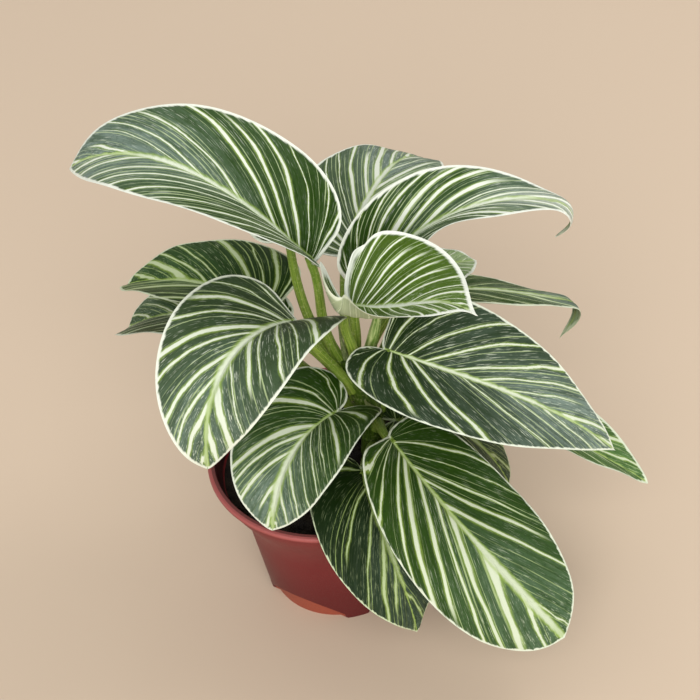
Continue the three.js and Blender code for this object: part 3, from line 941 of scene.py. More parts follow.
@dataclass(frozen=True)
class LeafShape:
    """How one leaf grows: its midrib, its two halves, its outline and its stalk.

    Attributes:
        at: The point where the blade joins its stalk.
        heading: The midrib's heading in degrees from +X at the base and the tip.
        pitch: The midrib's pitch at the base, the middle and the tip.
        left: The left half's fold at the base and the tip, then its curl at both.
        right: The same for the right half.
        length: The midrib's length.
        width: The blade's full width.
        lobes: How far the two lobes reach back, in shares of the length.
        widest: Where the blade is widest, as a share of the length.
        tip: How full the tip is.
        foot: The height and the bearing of the stalk's foot on the stem.
        roll: The roll about the midrib at the base and the tip.
        nod: Where the tip nods down, from and to, and by how much.
        change: The stretch over which the halves change their fold.
        lift: How far the ends of the two lobes are lifted.
        lean: How far the stalk leans out at its foot.
        arrive: How much the stalk comes up from under the blade.
    """

    at: Triple
    heading: Pair
    pitch: Triple
    length: float
    width: float
    foot: Pair
    left: Quad = (5, 5, 0, 0)
    right: Quad = (5, 5, 0, 0)
    lobes: Pair = (0.1, 0.1)
    widest: float = 0.3
    tip: float = 0.5
    roll: Pair = (0, 0)
    nod: Triple | None = None
    change: Pair | None = None
    lift: Pair = (0, 0)
    lean: float = 0.4
    arrive: float = 0.8

    LOBE_VEIN = 0.12
    WIDEST_VEIN = 0.3
    VEIN_GATHER = 2.9
    VEIN_BOW = 0.22
    BOW_AT_TIP = 0.12
    BOW_FADES = (0.15, 0.6)
    CALM_ENDS = 0.4
    STRAIGHT_VEIN = 0.09
    FULL_LOBE = 0.08
    MIDRIB_STEPS = 48

    def outline(self, side: int, vein: Array) -> Array:
        """Return the half outline in shares of the half width and the length.

        Args:
            side: 1 for the right half, -1 for the left.
            vein: Which vein ends there, from 0 at the notch to 1 at the tip.

        Returns:
            The outline's points.
        """
        lobe = self.lobes[0 if side < 0 else 1]
        widest, tip = self.widest, self.tip
        edge = [(0, 0), (0.06, -0.8 * lobe), (0.18, -lobe), (0.44, -lobe)]
        shoulder = [(0.44, -lobe), (0.8, -lobe), (1, 0.45 * widest - 0.4 * lobe), (1, widest)]
        flank = [(1, widest), (1, widest + 0.34), (tip, 0.8 + 0.2 * tip), (0, 1)]
        low, high = self.LOBE_VEIN, self.WIDEST_VEIN
        parts = [
            (edge, np.clip(vein / low, 0, 1)),
            (shoulder, np.clip((vein - low) / (high - low), 0, 1)),
            (flank, np.clip((vein - high) / (1 - high), 0, 1) ** 0.92),
        ]
        curves = [bezier([np.array(p, float) for p in points], share) for points, share in parts]
        vein = vein[..., None]
        return np.where(vein < low, curves[0], np.where(vein < high, curves[1], curves[2]))

    def flat(self, side: int, vein: Array, out: Array) -> Array:
        """Return points of the unbent half blade in millimetres.

        Args:
            side: 1 for the right half, -1 for the left.
            vein: Which vein, from 0 to 1, by row.
            out: How far out along the vein, from 0 to 1, by column.

        Returns:
            The points by row and column.
        """
        edge = self.outline(side, vein) * (self.width / 2, self.length)
        root = np.stack([np.zeros_like(vein), vein**self.VEIN_GATHER * self.length], -1)
        run = edge - root
        bend = np.clip(vein / self.STRAIGHT_VEIN - 1, -1, 1) * self.VEIN_BOW
        lobe = np.clip(self.lobes[0 if side < 0 else 1] / self.FULL_LOBE, 0, 1)
        calm = mix(lobe, 1, smoothstep(vein, self.LOBE_VEIN, self.CALM_ENDS))
        fading = mix(1, self.BOW_AT_TIP, smoothstep(vein, *self.BOW_FADES))
        bend = (bend * calm * fading)[..., None]
        bow = np.stack([run[..., 1], -run[..., 0]], -1) * bend
        controls = [root, root + 0.33 * run + bow, root + 0.7 * run + bow, edge]
        return bezier([point[:, None, :] for point in controls], out[None, :])

    def directions(self, share: Array) -> tuple[Array, Array, Array]:
        """Find the leaf's own directions along its midrib.

        Args:
            share: Shares of the length.

        Returns:
            The ways along the midrib, across to the right and up.
        """
        heading = np.radians(mix(*self.heading, share))
        base, middle, tip = self.pitch
        pitch = base * (1 - share) * (1 - 2 * share) + middle * 4 * share * (1 - share)
        pitch = pitch + tip * share * (2 * share - 1)
        if self.nod:
            pitch = pitch - self.nod[2] * smoothstep(share, self.nod[0], self.nod[1])
        pitch = np.radians(pitch)
        level_part = np.cos(pitch)
        parts = [level_part * np.cos(heading), level_part * np.sin(heading), np.sin(pitch)]
        along = np.stack(parts, -1)
        level = np.stack([np.sin(heading), -np.cos(heading), np.zeros_like(heading)], -1)
        upright = np.cross(level, along)
        roll = np.radians(mix(*self.roll, share))[..., None]
        across = level * np.cos(roll) + upright * np.sin(roll)
        up = upright * np.cos(roll) - level * np.sin(roll)
        return along, across, up

    def midrib(self) -> Array:
        """Lay out the midrib.

        Returns:
            Its points at even steps.
        """
        middles = (np.arange(self.MIDRIB_STEPS) + 0.5) / self.MIDRIB_STEPS
        steps = self.directions(middles)[0] * self.length / self.MIDRIB_STEPS
        return np.vstack([[self.at], np.array(self.at) + np.cumsum(steps, axis=0)])

    def bent(self, side: int, flat: Array) -> Array:
        """Bend flat points of one half on to the leaf in space.

        Args:
            side: 1 for the right half, -1 for the left.
            flat: The flat points, coordinates last.

        Returns:
            The places in millimetres.
        """
        x, y = flat[..., 0], flat[..., 1]
        share = np.clip(y / self.length, 0, 1)
        along, across, up = self.directions(share)
        fold_base, fold_tip, curl_base, curl_tip = self.left if side < 0 else self.right
        change = smoothstep(share, *self.change) if self.change else share
        fold = np.radians(mix(fold_base, fold_tip, change))
        turn = np.radians(mix(curl_base, curl_tip, change)) * (2 * x / self.width)
        turn = np.where(np.abs(turn) < 1e-6, 1e-6, turn)
        reach = x * (np.sin(fold + turn) - np.sin(fold)) / turn
        rise = x * (np.cos(fold) - np.cos(fold + turn)) / turn
        rise = rise + np.where(y < 0, self.lift[0 if side < 0 else 1] * (y / self.length / 0.1) ** 2, 0)
        line = self.midrib()
        even = np.linspace(0, 1, len(line))
        rib = np.stack([np.interp(share, even, line[:, k]) for k in range(3)], -1)
        back = np.minimum(y, 0)[..., None]
        return rib + along * back + across * (side * reach)[..., None] + up * rise[..., None]


@dataclass
class Leaf:
    """One leaf: a thin blade with its midrib, veins and margin, on its stalk."""

    name: str
    shape: LeafShape
    finish: LeafFinish
    stem: StemLine
    rows: int = 104
    columns: int = 18
    row_gather: float = 1.25
    column_gather: float = 0.104
    thickness: float = 0.8
    groove: float = 0.4
    groove_width: float = 0.9
    rib_height: float = 1.3
    rib_tip_height: float = 0.15
    rib_width: float = 1.3
    quilting: float = 0.16
    quilts: int = 11
    notch_fade: float = 0.012
    tip_fade: float = 0.03
    wave: float = 0.5
    waves: float = 3.3
    stalk_radius: float = 2.9
    stalk_tip_radius: float = 1.9
    stalk_flare: float = 0.5
    stalk_collar: float = 0.25
    stalk_channel: float = 0.16
    stalk_under_blade: float = 4.0
    stalk_below_blade: float = 0.5
    stalk_in_stem: float = 1.5
    stalk_sides: int = 18
    stalk_rings: int = 40
    outline_steps: int = 180

    def surface(self) -> tuple[Array, Array, Array, Array]:
        """Lay out the blade's middle surface.

        Returns:
            Its places and its flat points by row and column, each row's vein and how far out
            each column is.
        """
        vein = np.linspace(0, 1, self.rows) ** self.row_gather
        even = np.linspace(0, 1, self.columns + 1)
        out = even - self.column_gather * np.sin(2 * math.pi * even)
        left_flat, right_flat = (self.shape.flat(side, vein, out) for side in (-1, 1))
        left, right = self.shape.bent(-1, left_flat), self.shape.bent(1, right_flat)
        places = np.concatenate([left[:, ::-1], right[:, 1:]], axis=1)
        flats = np.concatenate([left_flat[:, ::-1] * (-1, 1), right_flat[:, 1:]], axis=1)
        return places, flats, vein[:, None], np.concatenate([-out[::-1], out[1:]])[None, :]

    def edge_distance(self, flats: Array) -> Array:
        """Measure how far each flat point is from the outline.

        Args:
            flats: The flat points by row and column.

        Returns:
            The distances.
        """
        vein = np.linspace(0, 1, self.outline_steps) ** 1.2
        size = (self.shape.width / 2, self.shape.length)
        outline = np.vstack([self.shape.outline(side, vein) * size * (side, 1) for side in (-1, 1)])
        gaps = flats[:, :, None, :] - outline[None, None]
        return np.linalg.norm(gaps, axis=-1).min(axis=-1)

    def relief(self, flats: Array, vein: Array, columns: Array) -> tuple[Array, Array, Array]:
        """Return the quilting with the waves, and how far each face stands off the middle.

        Args:
            flats: The flat points by row and column.
            vein: Each row's vein.
            columns: How far out each column is, less than 0 on the left half.

        Returns:
            The lift, the upper face's height and the lower face's depth.
        """
        out = np.abs(columns)
        phase = self.finish.seed * 2.1
        from_rib = np.hypot(flats[..., 0], np.minimum(flats[..., 1], 0))
        share = np.clip(flats[..., 1] / self.shape.length, 0, 1)
        nearer = np.minimum(vein / self.notch_fade, (1 - vein) / self.tip_fade)
        ends = np.minimum(1, nearer) ** 0.5
        half = self.thickness / 2 * np.sqrt(1 - out**6) * ends
        quilt = self.quilting * np.cos(2 * math.pi * self.quilts * vein**0.85 + phase)
        quilt = quilt * 4 * out * (1 - out) * smoothstep(vein, 0.0, 0.15) * ends
        wave = np.sin(2 * math.pi * self.waves * vein + phase + columns * 2)
        wave = self.wave * out**3 * wave * ends
        groove = self.groove * hump(from_rib, self.groove_width) * ends
        rib = mix(self.rib_height, self.rib_tip_height, share**0.8)
        rib = rib * hump(from_rib, self.rib_width) * ends
        return quilt + wave, half - groove, half + rib

    def blade(self, body: Mesh) -> None:
        """Add the blade: both faces of the sheet, closed at the margin.

        Args:
            body: The mesh that takes it.
        """
        places, flats, vein, columns = self.surface()
        normal = unit(np.cross(np.gradient(places, axis=1), np.gradient(places, axis=0)))
        normal[0], normal[-1] = normal[1], normal[-2]
        lift, above, beneath = (part[..., None] for part in self.relief(flats, vein, columns))
        top = places + lift * normal + normal * above
        under = places + lift * normal - normal * beneath
        skin = np.concatenate([top, under[:, -2::-1]], axis=1)
        side = 0.5 + 0.5 * np.concatenate([columns, columns[:, -2::-1]], axis=1)
        wrap = np.stack(np.broadcast_arrays(vein, side), -1)
        from_rib = np.hypot(flats[..., 0], np.minimum(flats[..., 1], 0))
        edge = self.edge_distance(flats)
        facts = np.stack([from_rib, edge, np.zeros_like(edge)], -1)
        facts = np.concatenate([facts, facts[:, -2::-1] + (0, 0, 1)], axis=1)
        for margin in (-1, columns.size - 1):
            facts[:, margin, 2] = 0.5
        layer = body.verts.layers.float_vector.new("blade")
        verts = sheet(body, skin, wrap)
        for vert, fact in zip(verts, facts.reshape(-1, 3)):
            vert[layer] = fact
        bmesh.ops.remove_doubles(body, verts=verts, dist=WELD)
        bmesh.ops.recalc_face_normals(body, faces=body.faces)

    def stalk(self, body: Mesh) -> None:
        """Add the stalk, from the stem's side up to the underside of the blade.

        Args:
            body: The mesh that takes it.
        """
        shape = self.shape
        height, bearing = shape.foot
        axis, radius = self.stem.at_height(height)
        out = np.array([math.cos(math.radians(bearing)), math.sin(math.radians(bearing)), 0])
        start = axis + out * (radius - self.stalk_in_stem)
        along, _, up = (way[0] for way in shape.directions(np.zeros(1)))
        end = np.array(shape.at) + along * self.stalk_under_blade - up * self.stalk_below_blade
        reach = np.linalg.norm(end - start)
        rise = unit(out * shape.lean + (0, 0, 1))
        arrive = unit(along + up * shape.arrive)
        share = np.linspace(0, 1, self.stalk_rings)
        controls = [start, start + rise * 0.4 * reach, end - arrive * 0.3 * reach, end]
        radii = mix(self.stalk_radius, self.stalk_tip_radius, share)
        radii = radii + self.stalk_flare * hump(share, 0.06)
        radii = radii + self.stalk_collar * hump(share - 0.93, 0.03)
        turns = np.linspace(0, 2 * math.pi, self.stalk_sides + 1)
        channel = 1 - self.stalk_channel * hump(np.minimum(turns, 2 * math.pi - turns), 0.5)
        radii = radii[:, None] * channel[None, :]
        tube(body, rings(bezier(controls, share), radii, self.stalk_sides, first=tuple(up)), 1)

    def build(self, finishes: Finishes) -> Piece:
        """Return the finished leaf in place of its solid.

        Args:
            finishes: The shared finishes.

        Returns:
            The piece.
        """
        body = bmesh.new()
        self.blade(body)
        self.stalk(body)
        blade = self.finish.material(self.name, finishes.stripes, finishes.mottle)
        piece = finished(f"{self.name}_blade", body, [blade, finishes.stalk])
        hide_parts(self.name)
        return piece


@dataclass
class Stem:
    """The stem with its leaf scars and the two dry sheaths that lean off it."""

    line: StemLine
    sheaths: tuple[tuple[Triple, Triple, float], ...] = (
        ((14.5, 3, 140), (12.5, -3, 171), 1.2),
        ((24, -1.5, 112), (21, -11, 127), 1.3),
    )
    scars: tuple[float, ...] = (68, 78, 89, 99, 108, 117, 126, 135)
    scar_height: float = 0.45
    scar_width: float = 1.1
    inset: float = 0.2
    sides: int = 40
    sheath_rings: int = 24
    sheath_sides: int = 14
    sheath_flat: float = 0.6
    sheath_bow: float = 0.5
    sheath_tip: float = 0.35

    def build(self, finishes: Finishes) -> Piece:
        """Return the finished stem in place of its solid.

        Args:
            finishes: The shared finishes.

        Returns:
            The piece.
        """
        body = bmesh.new()
        line = self.line.points()
        radii = mix(self.line.radius, self.line.top_radius, np.linspace(0, 1, len(line)))
        for scar in self.scars:
            radii = radii + self.scar_height * hump(line[:, 2] - scar, self.scar_width)
        tube(body, rings(line, radii - self.inset, self.sides, first=FRONT))
        steps = np.linspace(0, 1, self.sheath_rings)
        for base, tip, radius in self.sheaths:
            base, tip = np.array(base, float), np.array(tip, float)
            outward = unit(np.cross(tip - base, (0, 1, 0)))
            bow = np.sin(steps * math.pi)[:, None] * outward * self.sheath_bow
            path = base + (tip - base) * steps[:, None] + bow
            radii = radius * (1 - steps) + self.sheath_tip
            tube(body, rings(path, radii, self.sheath_sides, self.sheath_flat, FRONT), 1)
        piece = finished("stem_and_sheaths", body, [finishes.stem, finishes.sheath])
        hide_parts("stem")
        return piece


@dataclass
class NewLeaf:
    """The newest leaf, still rolled into a spindle with a spiral seam."""

    base: Triple = (22.4, 4.3, 136)
    bend: Triple = (27.9, 0.9, 151)
    tip: Triple = (33, 2, 178)
    radius: float = 3.2
    tip_radius: float = 0.35
    seam: float = 0.14
    twist: float = 0.66
    steps: int = 60
    sides: int = 36

    def build(self, finishes: Finishes) -> Piece:
        """Return the finished spindle in place of its solid.

        Args:
            finishes: The shared finishes.

        Returns:
            The piece.
        """
        body = bmesh.new()
        share = np.linspace(0, 1, self.steps)
        t = share[:, None]
        base, bend, tip = (np.array(point, float) for point in (self.base, self.bend, self.tip))
        line = (1 - t) ** 2 * base + 2 * t * (1 - t) * bend + t * t * tip
        radii = self.radius * (0.75 + 0.6 * share * (1 - share)) * (1 - share**4) + self.tip_radius
        turns = np.linspace(0, 1, self.sides + 1)
        lap = 1 - self.seam * ((turns[None, :] * 0.999 - self.twist * t) % 1)
        lap[:, -1] = lap[:, 0]
        tube(body, rings(line, radii[:, None] * lap, self.sides, first=FRONT))
        piece = finished("new_leaf_spindle", body, [finishes.new_leaf])
        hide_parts("new_leaf")
        return piece


@dataclass
class Pot:
    """The nursery pot: a steep cone that flares to a rolled lip, with arches in its foot."""

    height: float = 85
    rim_radius: float = 60
    wall: float = 1.8
    lip: float = 3
    floor: float = 2
    arches: int = 4
    first_arch: float = -125
    arch_half_width: float = 24
    arch_height: float = 15
    arch_inset: float = 35.5
    arch_reach: float = 40
    arch_steps: int = 24
    drains: int = 6
    drain_radius: float = 3.5
    drain_circle: float = 22
    steps: int = 128
    line: tuple[Pair, ...] = ((38, 0), (44.8, 50), (48, 60), (53.5, 70), (57, 77), (58.6, 85))
    softening: tuple[float, ...] = (-3, -1.5, 0, 1.5, 3)

    def wall_radius(self, height: Number) -> Number:
        """Return the wall's outer radius at a height, its turns rounded off.

        Args:
            height: One height or several.

        Returns:
            The radius.
        """
        radii, heights = zip(*self.line)
        nearby = [np.interp(height + shift, heights, radii) for shift in self.softening]
        return sum(nearby) / len(nearby)

    def turned(self, profile: list[Pair]) -> Mesh:
        """Turn a line about the upright axis into a solid.

        Args:
            profile: The line's points, each a radius and a height.

        Returns:
            The solid.
        """
        body = bmesh.new()
        verts = [body.verts.new((radius * MM, 0, height * MM)) for radius, height in profile]
        edges = [body.edges.new(pair) for pair in zip(verts, verts[1:])]
        bmesh.ops.spin(
            body, geom=verts + edges, cent=(0, 0, 0), axis=(0, 0, 1), angle=2 * math.pi,
            steps=self.steps, use_merge=True,
        )
        bmesh.ops.remove_doubles(body, verts=body.verts, dist=1e-6)
        bmesh.ops.recalc_face_normals(body, faces=body.faces)
        return body

    def wall_line(self, low: float, high: float, inset: float, steps: int = 26) -> list[Pair]:
        """Return the wall's line between two heights, set in by a distance."""
        heights = np.linspace(low, high, steps)
        return [(float(self.wall_radius(h)) - inset, float(h)) for h in heights]

    def recess(self, grow: float, inset: float) -> Mesh:
        """Return the arch-shaped blocks that are cut from the foot.

        Args:
            grow: How much wider and higher than the opening they are.
            inset: The radius of the wall behind the arches.

        Returns:
            The blocks as one bmesh.
        """
        body = bmesh.new()
        start = (inset - 5) * MM
        half = self.arch_half_width + grow
        pull_up = (self.arch_height + grow) * 1.3
        pull_in = self.arch_half_width * 0.55
        controls = np.array([(-half, 0), (-pull_in, pull_up), (pull_in, pull_up), (half, 0)], float)
        arc = bezier(list(controls), np.linspace(0, 1, self.arch_steps + 1))
        outline = [(-half, -1), *map(tuple, arc), (half, -1)]
        for index in range(self.arches):
            bearing = math.radians(self.first_arch + 360 / self.arches * index)
            turn = Matrix.Rotation(bearing, 4, "Z")
            inner = [body.verts.new((start, x * MM, z * MM)) for x, z in outline]
            face = body.faces.new(inner)
            grown = bmesh.ops.extrude_face_region(body, geom=[face])["geom"]
            outer = [part for part in grown if isinstance(part, Vert)]
            bmesh.ops.translate(body, verts=outer, vec=(self.arch_reach * MM, 0, 0))
            bmesh.ops.transform(body, matrix=turn, verts=inner + outer)
        bmesh.ops.recalc_face_normals(body, faces=body.faces)
        top = self.arch_height + 5
        core = self.turned([(0, -2), (inset, -2), (inset + 1.5, top), (0, top)])
        return self.cut(body, core)

    @staticmethod
    def cut(body: Mesh, tool: Mesh) -> Mesh:
        """Cut one solid out of another and free both.

        Args:
            body: The solid that is cut.
            tool: What is taken away.

        Returns:
            What is left of the body.
        """
        objects = []
        for name, source in (("cut body", body), ("cut tool", tool)):
            mesh = bpy.data.meshes.new(name)
            source.to_mesh(mesh)
            source.free()
            thing = bpy.data.objects.new(name, mesh)
            bpy.context.scene.collection.objects.link(thing)
            objects.append(thing)
        modifier = objects[0].modifiers.new("cut", "BOOLEAN")
        modifier.operation = "DIFFERENCE"
        modifier.solver = "EXACT"
        modifier.object = objects[1]
        graph = bpy.context.evaluated_depsgraph_get()
        result = bmesh.new()
        result.from_object(objects[0], graph)
        for thing in objects:
            mesh = thing.data
            bpy.data.objects.remove(thing)
            bpy.data.meshes.remove(mesh)
        return result

    def build(self, finishes: Finishes) -> Piece:
        """Return the finished pot in place of its solid.

        Args:
            finishes: The shared finishes.

        Returns:
            The piece.
        """
        foot = self.height - self.lip
        rim = self.rim_radius
        outside = self.turned([
            (0, 0), *self.wall_line(0, foot, 0), (rim - 0.35, foot + 0.35), (rim - 0.05, foot + 0.8),
            (rim, foot + 1.5), (rim - 0.1, self.height - 0.7), (rim - 0.4, self.height - 0.2),
            (rim - 0.9, self.height), (0, self.height),
        ])
        outside = self.cut(outside, self.recess(0, self.arch_inset))
        inside = self.turned([
            (0, self.floor), *self.wall_line(self.floor, self.height + 1, self.wall),
            (0, self.height + 1),
        ])
        inside = self.cut(inside, self.recess(self.wall, self.arch_inset - self.wall))
        body = self.cut(outside, inside)
        drain = bmesh.new()
        for index in range(self.drains):
            turn = 2 * math.pi * index / self.drains
            spot = Vector((math.cos(turn), math.sin(turn), 0)) * self.drain_circle * MM
            bmesh.ops.create_cone(
                drain, cap_ends=True, segments=24, radius1=self.drain_radius * MM,
                radius2=self.drain_radius * MM, depth=6 * MM, matrix=Matrix.Translation(spot),
            )
        body = self.cut(body, drain)
        piece = finished("pot_shell", body, [finishes.pot])
        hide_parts("pot")
        return piece


@dataclass
class Soil:
    """The bed of potting mix with loose crumbs on top."""

    pot: Pot
    top: float = 73
    crumbs: int = 620
    seed: int = 11
    lump_height: float = 1.1
    lump_scale: float = 0.16
    grit_height: float = 0.5
    grit_scale: float = 0.6
    sink: float = 0.4
    edge_sink: float = 0.8
    edge_band: float = 3
    side_gap: float = 0.35
    base_gap: float = 0.3
    top_rings: int = 34

    def level(self, x: float, y: float) -> float:
        """Return the height of the mix at a place.

        Args:
            x: The place from left to right.
            y: The place from front to back.

        Returns:
            The height.
        """
        lumps = noise.noise(Vector((x, y, 3.0)) * self.lump_scale) * self.lump_height
        grit = noise.noise(Vector((x, y, 9.0)) * self.grit_scale) * self.grit_height
        return self.top + lumps + grit - self.sink

    def bed(self) -> Mesh:
        """Build the bed with its uneven top.

        Returns:
            The bed.
        """
        step = self.pot.arch_height + 3
        base = self.pot.floor + self.base_gap
        inner = self.pot.arch_inset - self.pot.wall - self.base_gap
        edge = float(self.pot.wall_radius(self.top)) - self.pot.wall - self.side_gap
        profile = [(0, base), (inner, base), (inner, step)]
        profile += self.pot.wall_line(step, self.top - 1, self.pot.wall + self.side_gap, 12)
        profile += [(edge * share, self.top) for share in np.linspace(1, 0, self.top_rings)[:-1]]
        profile.append((0, self.top))
        body = self.pot.turned(profile)
        for vert in body.verts:
            if vert.co.z > (self.top - 0.5) * MM:
                x, y = vert.co.x / MM, vert.co.y / MM
                near = min(1.0, (edge - math.hypot(x, y)) / self.edge_band)
                vert.co.z = mix(self.top - self.edge_sink, self.level(x, y), near) * MM
        return body

    def loose(self) -> Mesh:
        """Scatter the crumbs, each a small lump of its own size and turn.

        Returns:
            The crumbs as one mesh.
        """
        draw = random.Random(self.seed)
        edge = float(self.pot.wall_radius(self.top)) - self.pot.wall - 2.5
        body = bmesh.new()
        for _ in range(self.crumbs):
            reach, turn = edge * math.sqrt(draw.random()), draw.uniform(0, 2 * math.pi)
            x, y = reach * math.cos(turn), reach * math.sin(turn)
            size = draw.uniform(0.5, 1.9) ** 1.2
            spot = Matrix.Translation(Vector((x, y, self.level(x, y) + size * 0.15)) * MM)
            half_turn = draw.uniform(0, math.pi)
            spin = Matrix.Rotation(half_turn, 4, Vector((draw.random(), draw.random(), 1)))
            shape = Matrix.Diagonal((size * MM, size * draw.uniform(0.5, 1) * MM, size * 0.6 * MM, 1))
            bmesh.ops.create_icosphere(body, subdivisions=1, radius=1.0, matrix=spot @ spin @ shape)
        return body

    def build(self, finishes: Finishes) -> list[Piece]:
        """Return the bed in place of its solid, and the crumbs on it.

        Args:
            finishes: The shared finishes.

        Returns:
            The bed and the crumbs.
        """
        bed = finished("soil_bed", self.bed(), [finishes.soil])
        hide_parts("soil")
        crumbs = finished("soil_crumbs", self.loose(), [finishes.soil])
        return [bed, crumbs]


